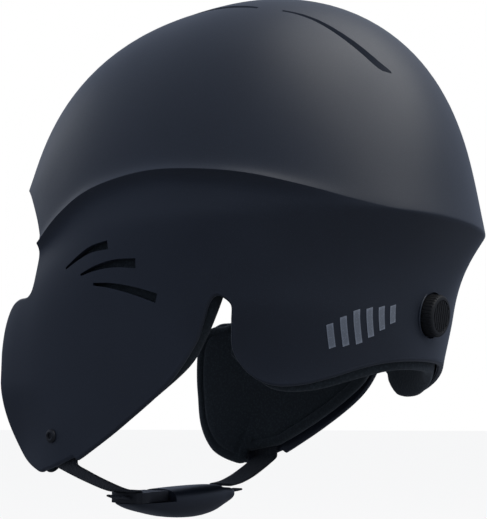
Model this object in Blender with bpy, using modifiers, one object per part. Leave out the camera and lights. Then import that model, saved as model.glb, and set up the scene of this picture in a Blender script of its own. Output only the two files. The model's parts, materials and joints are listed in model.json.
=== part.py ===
# A water-sports helmet with cheek guards, a rear fit dial and a magnetic chin buckle.
# Numbers are in millimetres, and MM turns them into Blender's metres.
# The front is -Y, the wearer's left is +X and up is +Z; z = 0 is the level where the dome is widest.
import math

import bmesh
import bpy
from mathutils import Matrix, Vector

MM = 0.001

# ---- Driving dimensions --------------------------------------------------------------------
HELMET_AT = (0.0, 7.189, 7.7)       # puts the middle of the whole helmet at the world's origin
HALF_WIDTH = 108.5
FRONT_HALF = 149.5
REAR_HALF = 128.5
CROWN = 140.0
SHELL = 3.2
LINER_GAP = 0.9
FOAM = 11.0
PAD_GAP = 1.5
PAD_DEPTH = SHELL + LINER_GAP
FITTING_DEPTH = PAD_DEPTH + FOAM + PAD_GAP
CROWN_PAD_DEPTH = FITTING_DEPTH + 0.8
PAD_THICK = 8.0
BUTTON_R = 16.0                     # the crown pad's flat round button, on which the helmet rests
BUTTON_LOW = 112.8
LINING_THICK = 6.0
CUT_REACH = 140.0                   # how far a cutter through both sides reaches from the middle

DIAL_AT = (0.0, 112.1, -46.3)
DIAL_TILT = 9.0
KNOB_R = 10.8
RECESS_R = 11.9
SPINDLE_R = 3.0
BORE_R = 4.3
GEAR_LEVEL = -11.9                  # the pinion's and racks' middle, along the dial's axis
GEAR_HALF = 2.2
RACK_HALF = 2.0
TEETH = 10
PITCH_R = 3.9
GEAR_ROOT = 3.1
GEAR_TIP = 4.7
RACK_TIP = 3.45
RACK_ROOT = 5.05
RACK_BACK = 8.2
HOUSING = (21.0, 12.0)
HOUSING_BACK, HOUSING_FRONT = -16.0, -7.3
COVER_BACK, COVER_FRONT = -17.9, -16.4
SCREWS = {"right": (-17.0, 10.3), "left": (17.0, -10.3)}

STRAP_Y = -57.0
STRAP_HALF = 9.0
WEB = 1.6
RIVET_AT = (-62.5, -107.5)
RIVET_HOLE_R = 2.4
STRAP_FOLD = (91.0, -121.8)
TAB_PIVOT = (-47.3, -142.5)
MAGNET_X = 28.3
MAGNET_R = 4.6

# Height of the styling ridge, by degrees from the rear centre.
RIDGE = ((0, -2), (20, -0.5), (32.5, 4), (43, 10), (56.5, 17), (70.5, 21), (82.5, 22.5),
         (96.5, 20.5), (107, 16.5), (118.5, 7.5), (129, -3), (140, -12), (180, -16))
# Side views as (y, z) points of a smooth line; a third value marks a sharp corner.
# The shell's lower edge: rear arch, lobe, ear notch, cheek guard, face opening and brow.
EDGE = ((118, -68), (102, -72), (85, -79.5), (72, -83.2), (60, -82.8), (51, -77), (46.7, -66.5),
        (48.8, -54), (50, -45), (45.5, -41), (41.5, -43), (36.5, -53.5), (31, -64.5),
        (15.5, -83.5), (-13, -103), (-43, -120, 1), (-46, -118.2, 1), (-60, -123.2),
        (-68, -125.3), (-76, -126.3), (-92, -118.5), (-104, -102), (-109, -78),
        (-108.5, -53), (-104, -38.5), (-96.5, -32.3), (-86, -31.2), (-81.3, -26), (-79.6, -12),
        (-79.6, 0), (-84, 10.5), (-95, 23), (-108, 32), (-128, 37.8), (-155, 39))
LINER_EDGE = ((118, -52), (92, -53), (62, -50), (46, -28), (20, -8), (-20, 2), (-66, 4), (-76, 12),
              (-86, 22), (-108, 37), (-120, 40.5), (-155, 43))
CHEEK_EDGE = ((43.5, -39, 1), (39.5, -49), (32, -62), (22.5, -75), (5.5, -87.5), (-18.5, -102),
              (-43, -114.5, 1), (-67.5, -119, 1), (-68.5, -125.5, 1), (-76, -126.8), (-92.5, -119),
              (-104.5, -102), (-109.5, -78), (-109, -53), (-104.5, -39.5), (-97, -33.8), (-86, -33),
              (-77, -26), (-73, -5, 1), (-20, -5, 1), (14, -12), (30, -25), (43.5, -39, 1))
NAPE_EDGE = ((118, -70.5), (102, -74.5), (85, -82), (72, -85.7), (59, -85.1), (49, -79), (44.7, -67),
             (45.6, -58, 1), (50, -56, 1), (70, -56), (90, -59), (118, -61, 1))
# Tapered slots: a spine of points and the width at each.
GILLS = ((((-49, -20), (-39, -15.5), (-28, -12), (-15.5, -11)), (1.2, 2.4, 3.6, 4.6)),
         (((-37, -24.5), (-26, -22), (-12, -20.8), (2.5, -22)), (1.2, 2.6, 4.0, 5.0)),
         (((-28, -30), (-15, -31.8), (0, -35.5), (13.5, -40)), (1.4, 2.8, 4.0, 4.8)))
CROWN_SLOTS = ((((53, 57.5), (49.5, 71), (46, 86.5), (42, 97.5), (37.5, 105.3), (32, 109.7)),
                (1.2, 1.9, 2.7, 3.2, 3.0, 0.6)),
               (((55, 43), (54.5, 34), (53.2, 22), (51, 8), (47.5, -6), (43.5, -16)),
                (1.6, 2.6, 3.6, 4.6, 4.8, 0.8)))
# The webbing's middle line as (x, z), from the fold to the buckle.
LEFT_WEB = ((89.8, -122.7), (86, -124.4), (76, -128.4), (64, -132.9), (55, -135.8), (47.2, -137.7))
RIGHT_WEB = ((-89.8, -122.7), (-86, -124.6), (-76, -129.2), (-65, -133.6), (-54, -136.8), (-42.5, -138.2))
# The buckle's boat as stations: x, half width, top z, bottom z.
BOAT = ((46, 6.0, -142.6, -145.4), (43, 9.0, -141.0, -146.8), (36, 11.5, -139.6, -149.2),
        (26, 13.0, -138.6, -151.6), (13, 14.0, -138.0, -154.2), (0, 14.3, -137.6, -155.4),
        (-13, 14.0, -137.4, -155.4), (-25, 13.0, -137.4, -153.8), (-34, 11.6, -137.8, -151.0),
        (-42, 10.4, -139.2, -148.0), (-46, 8.0, -140.6, -146.0))

# How a flat outline lies: its local x, y and z turned to face along the world's X or Y.
ALONG_X = (90.0, 0.0, 90.0)
ALONG_Y = (90.0, 0.0, 0.0)
UPRIGHT = (0.0, 0.0, 0.0)


# ---- Scene ---------------------------------------------------------------------------------
def collection(name):
    made = bpy.data.collections.new(name)
    bpy.context.scene.collection.children.link(made)
    return made


for leftover in list(bpy.data.objects):
    bpy.data.objects.remove(leftover, do_unlink=True)
PARTS = collection("water_helmet")
CUTTERS = collection("cutters")


def material(name, colour, rough, metal=0.0):
    made = bpy.data.materials.new(name)
    made.use_nodes = True
    shader = made.node_tree.nodes["Principled BSDF"]
    shader.inputs["Base Color"].default_value = (*colour, 1.0)
    shader.inputs["Roughness"].default_value = rough
    shader.inputs["Metallic"].default_value = metal
    made.diffuse_color = (*colour, 1.0)
    return made


SHELL_MAT = material("satin_shell", (0.035, 0.045, 0.062), 0.42)
FOAM_MAT = material("impact_foam", (0.030, 0.030, 0.032), 0.9)
LINING_MAT = material("lining_fabric", (0.045, 0.058, 0.060), 0.95)
WEB_MAT = material("webbing", (0.022, 0.025, 0.030), 0.85)
DARK_MAT = material("dark_plastic", (0.018, 0.018, 0.020), 0.5)
KNOB_MAT = material("dial_plastic", (0.030, 0.030, 0.030), 0.6)
STEEL_MAT = material("steel", (0.55, 0.56, 0.58), 0.3, 1.0)


def place(made, at, turn, frame, group):
    group.objects.link(made)
    made.parent = frame
    made.location = Vector(at) * MM
    made.rotation_euler = [math.radians(a) for a in turn]
    if group is CUTTERS:
        made.hide_render = True
        made.display_type = "WIRE"
    return made


def empty(name, at, turn=UPRIGHT, frame=None):
    made = place(bpy.data.objects.new(name, None), at, turn, frame, PARTS)
    bpy.context.view_layer.update()
    return made


HELMET = empty("helmet_frame", HELMET_AT)
DIAL_FRAME = empty("dial_frame", DIAL_AT, (-90 - DIAL_TILT, 0, 0), HELMET)
DIAL_AXIS = empty("dial_axis", DIAL_AT, (-90 - DIAL_TILT, 0, 0), HELMET)
STRAP_AXIS = empty("strap_axis", (-STRAP_FOLD[0], STRAP_Y, STRAP_FOLD[1]), frame=HELMET)
TAB_AXIS = empty("tab_axis", (TAB_PIVOT[0], STRAP_Y, TAB_PIVOT[1]), frame=HELMET)


def hang(piece, pivot):
    """Makes a moving piece follow the empty on its joint's axis, without moving it now."""
    piece.parent = pivot
    piece.matrix_parent_inverse = pivot.matrix_world.inverted() @ HELMET.matrix_world


# ---- Modelling helpers -----------------------------------------------------------------------
def clean(mesh, weld):
    shape = bmesh.new()
    shape.from_mesh(mesh)
    bmesh.ops.remove_doubles(shape, verts=shape.verts, dist=weld)
    bmesh.ops.dissolve_degenerate(shape, edges=shape.edges, dist=weld)
    bmesh.ops.recalc_face_normals(shape, faces=shape.faces)
    shape.to_mesh(mesh)
    shape.free()


def evaluated_mesh(made):
    bpy.context.view_layer.update()
    return bpy.data.meshes.new_from_object(made.evaluated_get(bpy.context.evaluated_depsgraph_get()))


def apply_modifiers(made, weld=1e-6):
    made.data = evaluated_mesh(made)
    made.modifiers.clear()
    clean(made.data, weld)
    return made


def from_shape(name, shape, at=(0, 0, 0), turn=UPRIGHT, frame=HELMET, group=PARTS):
    mesh = bpy.data.meshes.new(name)
    shape.to_mesh(mesh)
    shape.free()
    return place(bpy.data.objects.new(name, mesh), at, turn, frame, group)


def cylinder(name, radius, low, high, steps, at=(0, 0, 0), turn=UPRIGHT, frame=HELMET, group=CUTTERS):
    """A cylinder along local z from low to high."""
    shape = bmesh.new()
    middle = Matrix.Translation((0, 0, (low + high) / 2 * MM))
    bmesh.ops.create_cone(shape, cap_ends=True, segments=steps, radius1=radius * MM,
                          radius2=radius * MM, depth=(high - low) * MM, matrix=middle)
    return from_shape(name, shape, at, turn, frame, group)


def block(name, low, high, frame=HELMET, group=CUTTERS):
    """A box between two corners, with its origin in its middle."""
    low, high = Vector(low), Vector(high)
    shape = bmesh.new()
    bmesh.ops.create_cube(shape, size=1.0, matrix=Matrix.Diagonal((*((high - low) * MM), 1)))
    return from_shape(name, shape, (low + high) / 2, UPRIGHT, frame, group)


def turned(name, profile, steps, frame, closed=False):
    """A solid turned about local z; the profile runs down its outer side as (radius, height)."""
    shape = bmesh.new()
    spots = [shape.verts.new((r * MM, 0, h * MM)) for r, h in profile]
    ends = spots[1:] + spots[:1] if closed else spots[1:]
    for a, b in zip(spots, ends):
        shape.edges.new((a, b))
    made = from_shape(name, shape, frame=frame)
    screw = made.modifiers.new("turn", "SCREW")
    screw.steps = screw.render_steps = steps
    screw.use_merge_vertices = True
    screw.merge_threshold = 0.00001
    return apply_modifiers(made)


def flat(name, outline, half, at=(0, 0, 0), turn=ALONG_X, frame=HELMET, group=CUTTERS):
    """A flat outline made solid to both sides of its plane, `half` each way."""
    curve = bpy.data.curves.new(name, "CURVE")
    curve.dimensions = "2D"
    curve.fill_mode = "BOTH"
    curve.extrude = half * MM
    line = curve.splines.new("POLY")
    line.points.add(len(outline) - 1)
    for point, (a, b) in zip(line.points, outline):
        point.co = (a * MM, b * MM, 0, 1)
    line.use_cyclic_u = True
    drawn = place(bpy.data.objects.new(name + "_outline", curve), at, turn, frame, group)
    made = place(bpy.data.objects.new(name, evaluated_mesh(drawn)), at, turn, frame, group)
    clean(made.data, 1e-6)
    bpy.context.view_layer.update()
    made.matrix_world = drawn.matrix_world
    bpy.data.objects.remove(drawn)
    return made


def sheet(name, columns, rows, point, thick, mirror=False, group=PARTS):
    """An open surface through point(column, row), made solid inwards; mirror adds the right half."""
    shape = bmesh.new()
    bmesh.ops.create_grid(shape, x_segments=columns - 1, y_segments=rows - 1, size=0.5)
    for vert in shape.verts:
        column = round((vert.co.x + 0.5) * (columns - 1))
        row = round((vert.co.y + 0.5) * (rows - 1))
        vert.co = point(column, row) * MM
    bmesh.ops.remove_doubles(shape, verts=shape.verts, dist=1e-6)
    shape.normal_update()
    shape.faces.ensure_lookup_table()
    middle = shape.faces[len(shape.faces) // 2]
    if middle.normal.dot(middle.calc_center_median()) < 0:
        bmesh.ops.reverse_faces(shape, faces=shape.faces)
    made = from_shape(name, shape, group=group)
    if mirror:
        twin = made.modifiers.new("right_half", "MIRROR")
        twin.merge_threshold = 0.00001
    solid = made.modifiers.new("thickness", "SOLIDIFY")
    solid.thickness = thick * MM
    solid.offset = -1.0
    return apply_modifiers(made)


def boolean(made, cutter, kind="DIFFERENCE"):
    step = made.modifiers.new(cutter.name, "BOOLEAN")
    step.operation = kind
    step.solver = "EXACT"
    step.object = cutter
    return made


def connected_pieces(shape):
    left = set(shape.verts)
    while left:
        stack = [left.pop()]
        piece = list(stack)
        while stack:
            for edge in stack.pop().link_edges:
                near = [v for v in edge.verts if v in left]
                left.difference_update(near)
                piece += near
                stack += near
        yield piece


def one_body(made):
    """Applies the cuts and drops any crumb that they leave beside the body."""
    apply_modifiers(made, 2e-6)
    shape = bmesh.new()
    shape.from_mesh(made.data)
    crumbs = sorted(connected_pieces(shape), key=len)[:-1]
    bmesh.ops.delete(shape, geom=[v for piece in crumbs for v in piece], context="VERTS")
    shape.to_mesh(made.data)
    shape.free()
    return made


def finish(made, mat, sharp=32.0):
    made.data.materials.clear()
    made.data.materials.append(mat)
    made.data.polygons.foreach_set("material_index", [0] * len(made.data.polygons))
    made.data.shade_smooth()
    made.data.set_sharp_from_angle(angle=math.radians(sharp))
    return made


def right_twin(made, name):
    """The same piece on the wearer's right, mirrored in the helmet's middle plane."""
    mesh = made.data.copy()
    mesh.transform(Matrix.Scale(-1, 4, (1, 0, 0)))
    mesh.flip_normals()
    return place(bpy.data.objects.new(name, mesh), (0, 0, 0), UPRIGHT, HELMET, PARTS)


def spread(first, last, count):
    return [first + (last - first) * i / (count - 1) for i in range(count)]


def rounded_line(points, per_step=2):
    """A smooth line (Catmull-Rom) through the points; one with a third value stays a corner."""
    line = []
    last = len(points) - 1
    for i in range(last):
        p1, p2 = points[i], points[i + 1]
        p0 = p1 if i == 0 or len(p1) == 3 else points[i - 1]
        p3 = p2 if i + 1 == last or len(p2) == 3 else points[i + 2]
        for k in range(per_step):
            t = k / per_step
            line.append(tuple(
                0.5 * (2 * b + (c - a) * t + (2 * a - 5 * b + 4 * c - d) * t * t
                       + (3 * b - a - 3 * c + d) * t**3)
                for a, b, c, d in zip(p0[:2], p1[:2], p2[:2], p3[:2])))
    line.append(tuple(points[last][:2]))
    return line


def both_sides(spine, widths):
    """The outline of a strip round a spine of (a, b) points, with its width at each."""
    over, under = [], []
    last = len(spine) - 1
    for i, (a, b) in enumerate(spine):
        a0, b0 = spine[max(i - 1, 0)]
        a1, b1 = spine[min(i + 1, last)]
        run = math.hypot(a1 - a0, b1 - b0)
        da, db = -(b1 - b0) / run * widths[i] / 2, (a1 - a0) / run * widths[i] / 2
        over.append((a + da, b + db))
        under.append((a - da, b - db))
    return over + under[::-1]


# ---- The head's surface ----------------------------------------------------------------------
def ease(low, high, value):
    t = min(max((value - low) / (high - low), 0.0), 1.0)
    return t * t * (3 - 2 * t)


def turn_of(th):
    """Degrees from the rear centre, the same on both sides."""
    return abs((math.degrees(th) + 180) % 360 - 180)


def ridge(th):
    """The ridge's height at this turn: a smooth line through RIDGE."""
    t = turn_of(th)
    last = len(RIDGE) - 1
    slope = [0.0] * len(RIDGE)
    for i in range(1, last):
        (x0, y0), (x1, y1) = RIDGE[i - 1], RIDGE[i + 1]
        slope[i] = (y1 - y0) / (x1 - x0)
    for i in range(last):
        (x0, y0), (x1, y1) = RIDGE[i], RIDGE[i + 1]
        if t <= x1:
            w = x1 - x0
            u = (t - x0) / w
            start = (2 * u**3 - 3 * u**2 + 1) * y0 + (u**3 - 2 * u**2 + u) * w * slope[i]
            return start + (3 * u**2 - 2 * u**3) * y1 + (u**3 - u**2) * w * slope[i + 1]
    return RIDGE[last][1]


def smooth_point(th, z):
    """The outside without its ridge; th is measured from the rear centre.

    A level cut is a superellipse, longer at the front than at the rear. Above z = 0 it shrinks to
    the crown; below, it narrows, moves forwards and grows squarer round the cheek guards."""
    drop = max(-z, 0.0)
    c, s = math.cos(th), math.sin(th)
    squarer = 1 - math.exp(-((drop / 45) ** 1.5))
    shift = -14 * (1 - math.exp(-((drop / 50) ** 1.5)))
    wide = HALF_WIDTH - 11 * (1 - math.exp(-((drop / 55) ** 1.3)))
    if c > 0:
        length = REAR_HALF - 19 * (1 - math.exp(-((drop / 24) ** 1.15))) - shift
        power = 2.06 + 0.1 * squarer
    else:
        length = FRONT_HALF + 14 * (1 - math.exp(-((drop / 60) ** 2))) + shift
        power = 2.06 + 1.6 * squarer
    level = (abs(c / length) ** power + abs(s / wide) ** power) ** (-1 / power)
    bulge = 2.38 * max(c, 0.0) ** 2 + 2.36 * max(-c, 0.0) ** 2 + 2.15 * s * s
    rise = min(max(z, 0.0) / CROWN, 1.0)
    r = level * max(1 - rise**bulge, 0.0) ** (1 / bulge)
    x, y = r * s, r * c + shift
    lobe_pull = 10 * ease(-42, -84, z) * ease(20, 60, y) * min(1.0, abs(x) / 40)
    chin_pull = 6 * ease(-78, -118, z) * ease(-55, -105, y)
    pull = min(lobe_pull + chin_pull, abs(x))
    return Vector((x - math.copysign(pull, x), y, z))


def ridge_zones(th):
    """Shares of the side ridge, the rear flare and the brow lip at this turn."""
    t = turn_of(th)
    return ease(25, 60, t) * (1 - ease(128, 140, t)), 1 - ease(20, 60, t), ease(120, 150, t)


def ridge_push(th, z):
    """How far the outside stands out from the smooth surface."""
    side, rear, brow = ridge_zones(th)
    above = z - ridge(th)
    up, down = max(above, 0.0), max(-above, 0.0)
    lip = 2.2 * math.exp(-up / 9) * math.exp(-down / 3) - 2.0 * (1 - math.exp(-down / 4))
    flare = 5.0 * math.exp(-up / 24) * math.exp(-down / 22)
    return side * lip + rear * flare + brow * 2.2 * math.exp(-abs(z - 34) / 12)


def outer_point(th, z):
    push = ridge_push(th, z)
    return smooth_point(th, z) + Vector((push * math.sin(th), push * math.cos(th), 0))


def deep(depth):
    """The surface this far below the smooth one, kept clear of the step under the ridge."""
    def surface(th, z):
        z = min(z, CROWN - 0.02)
        here = smooth_point(th, z)
        across = smooth_point(th + 0.01, z) - smooth_point(th - 0.01, z)
        upward = smooth_point(th, min(z + 0.4, CROWN - 0.01)) - smooth_point(th, z - 0.4)
        normal = upward.cross(across).normalized()
        if normal.dot(here) < 0:
            normal = -normal
        side, rear, _ = ridge_zones(th)
        step = side * 2.0 * (1 - ease(-8, 14, z - ridge(th)))
        step -= rear * 2.5 * ease(-60, 0, z) * (1 - ease(0, 70, z))
        return here - normal * (depth + step)
    return surface


def on_left_side(y, z, depth):
    """The point of the deep surface on the wearer's left at this y and z."""
    surface = deep(depth)
    low, high = math.radians(50), math.radians(172)
    for _ in range(40):
        middle = (low + high) / 2
        if surface(middle, z).y > y:
            low = middle
        else:
            high = middle
    return surface((low + high) / 2, z)


def turn_sheet(name, surface, turns, levels, thick, mirror=False, pole=False):
    """A solid sheet of a surface between degrees of turn and between levels; pole closes the crown."""
    def point(column, row):
        if pole and row == len(levels):
            return surface(0.0, CROWN)
        return surface(math.radians(turns[column]), levels[row])

    return sheet(name, len(turns), len(levels) + (1 if pole else 0), point, thick, mirror)


# ---- Shell -----------------------------------------------------------------------------------
SHELL_STEP = 6
ROWS_BELOW, ROWS_ABOVE = 11, 8
SHELL_LOW = -134.0
NEAR_RIDGE = (2.5, 6.0, 12.0, 22.0)


def shell_rows(th):
    """Levels that follow the ridge, closer together near it, and end at the crown."""
    z0 = ridge(th)
    below = [z0 - (i / ROWS_BELOW) ** 1.45 * (z0 - SHELL_LOW) for i in range(ROWS_BELOW, 0, -1)]
    near = [z0] + [z0 + rise for rise in NEAR_RIDGE]
    rest = CROWN - near[-1]
    above = [near[-1] + rest * math.sin(math.radians(90 * i / ROWS_ABOVE)) for i in range(1, ROWS_ABOVE)]
    return below + near + above + [CROWN]


def shell_point(column, row):
    th = math.radians(SHELL_STEP * column)
    level = shell_rows(th)[row]
    return outer_point(0.0 if level == CROWN else th, level)


def side_mask(name, edge, front_z):
    """Everything above a lower edge in side view, to intersect with."""
    outline = [(150, edge[0][1]), *rounded_line(edge), (-170, front_z), (-170, 160), (150, 160)]
    return flat(name, outline, CUT_REACH)


def slot_cutters():
    """The two crown slots of each side, cut straight down."""
    made = []
    for number, (spine, widths) in enumerate(CROWN_SLOTS):
        for sign, hand in ((1, "left"), (-1, "right")):
            outline = [(sign * a, b) for a, b in both_sides(spine, widths)]
            made.append(flat(f"crown_slot_{hand}_{number}", outline, 45.0, (0, 0, 105), UPRIGHT))
    return made


def rivet_frames():
    """An empty at each rivet on the outside of the cheek guards, with local z pointing out."""
    here = on_left_side(*RIVET_AT, 0.0)
    out = here - on_left_side(*RIVET_AT, 4.0)
    lean = math.degrees(math.atan2(out.x, out.z))
    left = empty("rivet_frame_left", here, (0, lean, 0), HELMET)
    right = empty("rivet_frame_right", (-here.x, here.y, here.z), (0, -lean, 0), HELMET)
    return {"left": left, "right": right}


RIVETS = rivet_frames()
SLOT_CUTS = slot_cutters()
RIVET_CUTS = {hand: cylinder(f"rivet_hole_{hand}", RIVET_HOLE_R, -20, 20, 20, frame=frame)
              for hand, frame in RIVETS.items()}


def make_shell():
    columns = 180 // SHELL_STEP + 1
    shell = sheet("outer_shell", columns, len(shell_rows(0.0)), shell_point, SHELL, mirror=True)
    boolean(shell, side_mask("shell_mask", EDGE, EDGE[-1][1]), "INTERSECT")
    for number, (spine, widths) in enumerate(GILLS):
        boolean(shell, flat(f"gill_{number}", both_sides(spine, widths), CUT_REACH))
    for cutter in SLOT_CUTS:
        boolean(shell, cutter)
    boolean(shell, cylinder("dial_recess", RECESS_R, -1.6, 12, 40, frame=DIAL_FRAME))
    boolean(shell, cylinder("dial_bore", BORE_R, -30, 12, 24, frame=DIAL_FRAME))
    for cutter in RIVET_CUTS.values():
        boolean(shell, cutter)
    finish(one_body(shell), SHELL_MAT)


# ---- Foam and padding ------------------------------------------------------------------------
def make_liner():
    levels = [-58, -36, -14, 8, 30, 52, 74, 94, 111, 124, 133]
    liner = turn_sheet("impact_liner", deep(PAD_DEPTH), spread(0, 180, 21), levels, FOAM, True, True)
    boolean(liner, side_mask("liner_mask", LINER_EDGE, LINER_EDGE[-1][1]), "INTERSECT")
    for cutter in SLOT_CUTS:
        boolean(liner, cutter)
    boolean(liner, block("gear_space", (-27, -15, -26), (27, 15, 0), DIAL_FRAME))
    finish(one_body(liner), FOAM_MAT)


def behind_guard(name, ys, zs, depth, thick, group=PARTS):
    """A sheet behind the left cheek guard over ranges of y and z."""
    def point(column, row):
        return on_left_side(ys[column], zs[row], depth)

    return sheet(name, len(ys), len(zs), point, thick, group=group)


def make_cheek_pads():
    levels = spread(-132, -2, 12)
    pad = turn_sheet("cheek_pad_left", deep(PAD_DEPTH), spread(150, 56, 14), levels, PAD_THICK)
    boolean(pad, flat("cheek_mask", rounded_line(CHEEK_EDGE)[:-1], 70, (85, 0, 0)), "INTERSECT")
    pocket = behind_guard("strap_pocket", spread(-70, -41, 5), spread(-134, -94, 6), 0.0, PAD_DEPTH + 5.2,
                          CUTTERS)
    finish(one_body(boolean(pad, pocket)), LINING_MAT)
    finish(right_twin(pad, "cheek_pad_right"), LINING_MAT)


def make_nape_lining():
    levels = spread(-90, -52, 6)
    nape = turn_sheet("nape_lining", deep(PAD_DEPTH), spread(0, 76, 13), levels, LINING_THICK, True)
    boolean(nape, flat("nape_mask", rounded_line(NAPE_EDGE), CUT_REACH), "INTERSECT")
    finish(one_body(nape), LINING_MAT)


def make_fitting_pads():
    """The brow, crown and side pads on the foam's inside. The crown pad has a flat round button."""
    brow = turn_sheet("brow_pad", deep(FITTING_DEPTH), spread(146, 180, 7), (46, 54, 62, 70), 7.0, True)
    finish(brow, LINING_MAT)
    levels = (122, 127, 132, 136)
    crown = turn_sheet("crown_pad", deep(CROWN_PAD_DEPTH), spread(0, 180, 13), levels, PAD_THICK, True, True)
    boolean(crown, cylinder("crown_button", BUTTON_R, BUTTON_LOW, BUTTON_LOW + PAD_THICK / 2, 32), "UNION")
    finish(one_body(crown), LINING_MAT)
    levels = (24, 36, 48, 62, 76)
    side = turn_sheet("side_pad_left", deep(FITTING_DEPTH), spread(66, 118, 8), levels, PAD_THICK)
    finish(side, LINING_MAT)
    finish(right_twin(side, "side_pad_right"), LINING_MAT)


# ---- Fit dial: every length below runs along or across the dial's axis -------------------------
def make_knob():
    profile = ((0, 6.2), (KNOB_R - 1.9, 6.2), (KNOB_R - 0.8, 5.8), (KNOB_R, 4.6), (KNOB_R, -0.2),
               (KNOB_R - 0.9, -1.2), (0, -1.2))
    knob = turned("dial_knob", profile, 36, DIAL_AXIS)
    groove_step, groove_half, groove_r, groove_floor = 2.9, 0.7, 8.0, 5.2
    for i in range(-2, 3):
        x = groove_step * i
        reach = math.sqrt(groove_r**2 - x * x)
        boolean(knob, block(f"knob_groove_{i + 2}", (x - groove_half, -reach, groove_floor),
                            (x + groove_half, reach, 7.6), DIAL_AXIS))
    flutes, flute_r, flute_at = 16, 0.9, KNOB_R + 0.4
    for i in range(flutes):
        a = 2 * math.pi * (i + 0.5) / flutes
        boolean(knob, cylinder(f"knob_flute_{i}", flute_r, -3, 8, 8,
                               (flute_at * math.cos(a), flute_at * math.sin(a), 0), frame=DIAL_AXIS))
    finish(one_body(knob), KNOB_MAT)


def gear_outline():
    """Straight-sided teeth between the root and tip circles."""
    points = []
    step = 2 * math.pi / TEETH
    for k in range(TEETH):
        for share, r in ((-0.28, GEAR_ROOT), (-0.13, GEAR_TIP), (0.13, GEAR_TIP), (0.28, GEAR_ROOT)):
            a = (k + share) * step
            points.append((r * math.cos(a), r * math.sin(a)))
    return points


def rack_outline(sign):
    """The left band's rack (+1) runs below the pinion and the right band's (-1) above it."""
    pitch = 2 * math.pi * PITCH_R / TEETH
    start, end = -pitch - 0.95, 27.0
    points = [(start, RACK_ROOT)]
    for k in range(-1, 8):
        for dx, level in ((-0.55, RACK_ROOT), (-0.24, RACK_TIP), (0.24, RACK_TIP), (0.55, RACK_ROOT)):
            points.append((k * pitch + dx, level))
    points += [(end, RACK_ROOT), (end, RACK_BACK), (start, RACK_BACK)]
    return [(sign * a, sign * b) for a, b in points]


def make_gears():
    profile = ((0, -1.5), (SPINDLE_R, -1.5), (SPINDLE_R, -8.0), (2.4, -8.0), (2.4, -9.3), (0, -9.3))
    finish(turned("dial_spindle", profile, 20, DIAL_AXIS), STEEL_MAT)
    level = (0, 0, GEAR_LEVEL)
    finish(flat("drive_pinion", gear_outline(), GEAR_HALF, level, UPRIGHT, DIAL_AXIS, PARTS), DARK_MAT)
    for sign, hand in ((1, "left"), (-1, "right")):
        rack = flat(f"band_rack_{hand}", rack_outline(sign), RACK_HALF, level, UPRIGHT, DIAL_FRAME, PARTS)
        finish(rack, DARK_MAT)


def make_gearbox():
    wide, tall = HOUSING
    low, high = (-wide, -tall, HOUSING_BACK), (wide, tall, HOUSING_FRONT)
    housing = block("gearbox_housing", low, high, DIAL_FRAME, PARTS)
    room, channel = 8.6, 4.6
    boolean(housing, block("gear_room", (2 - wide, -room, -17), (wide - 2, room, -9.4), DIAL_FRAME))
    boolean(housing, block("lower_channel", (-24, channel, -17), (24, room, -9.5), DIAL_FRAME))
    boolean(housing, block("upper_channel", (-24, -room, -17), (24, -channel, -9.5), DIAL_FRAME))
    boolean(housing, cylinder("housing_bore", 3.4, -20, 0, 24, frame=DIAL_FRAME))
    cover = block("gearbox_cover", (-wide, -tall, COVER_BACK), (wide, tall, COVER_FRONT), DIAL_FRAME, PARTS)
    screw_profile = ((0, -8.0), (0.6, -8.0), (0.6, -18.3), (1.8, -18.3), (1.8, -19.4), (0, -19.4))
    for hand, (x, y) in SCREWS.items():
        bore = cylinder(f"screw_bore_{hand}", 0.95, -20, -6, 12, (x, y, 0), frame=DIAL_FRAME)
        boolean(housing, bore)
        boolean(cover, bore)
        screw = turned(f"cover_screw_{hand}", screw_profile, 12, DIAL_FRAME)
        screw.location = Vector((x, y, 0)) * MM
        finish(screw, STEEL_MAT)
    finish(one_body(housing), DARK_MAT)
    finish(one_body(cover), DARK_MAT)


def make_cradle():
    cradle = turn_sheet("fit_cradle", deep(21.5), spread(0, 50, 9), spread(-60, -22, 5), 2.5, True)
    for number, (sign, z) in enumerate(((1, -49), (1, -33), (-1, -49), (-1, -33))):
        near, far = sorted((sign * 24, sign * 46))
        boolean(cradle, block(f"cradle_window_{number}", (near, 0, z - 4), (far, 120, z + 4)))
    finish(one_body(cradle), DARK_MAT)
    pad = turn_sheet("cradle_pad", deep(24.4), spread(0, 44, 7), spread(-58, -24, 4), 4.6, True)
    finish(pad, LINING_MAT)


# ---- Chin strap ------------------------------------------------------------------------------
def ribbon(name, path, thick, half):
    """Webbing along (x, z) points, wide along y."""
    outline = both_sides(path, [thick] * len(path))
    return flat(name, outline, half, (0, STRAP_Y, 0), ALONG_Y, HELMET, PARTS)


def make_strap_anchors():
    web = behind_guard("anchor_web_left", spread(STRAP_Y - STRAP_HALF, STRAP_Y + STRAP_HALF, 4),
                       spread(-120.6, -99.0, 4), PAD_DEPTH + 0.4, WEB)
    finish(one_body(boolean(web, RIVET_CUTS["left"])), WEB_MAT)
    finish(right_twin(web, "anchor_web_right"), WEB_MAT)
    rivet_profile = ((0, 1.8), (2.4, 1.8), (3.2, 1.6), (3.6, 0.8), (2.0, 0.8), (2.0, -8.2), (0, -8.2))
    washer_profile = ((2.4, -7.3), (4.4, -7.3), (4.4, -8.2), (2.4, -8.2))
    for hand, frame in RIVETS.items():
        finish(turned(f"strap_rivet_{hand}", rivet_profile, 20, frame), DARK_MAT)
        finish(turned(f"rivet_washer_{hand}", washer_profile, 20, frame, closed=True), STEEL_MAT)


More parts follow.
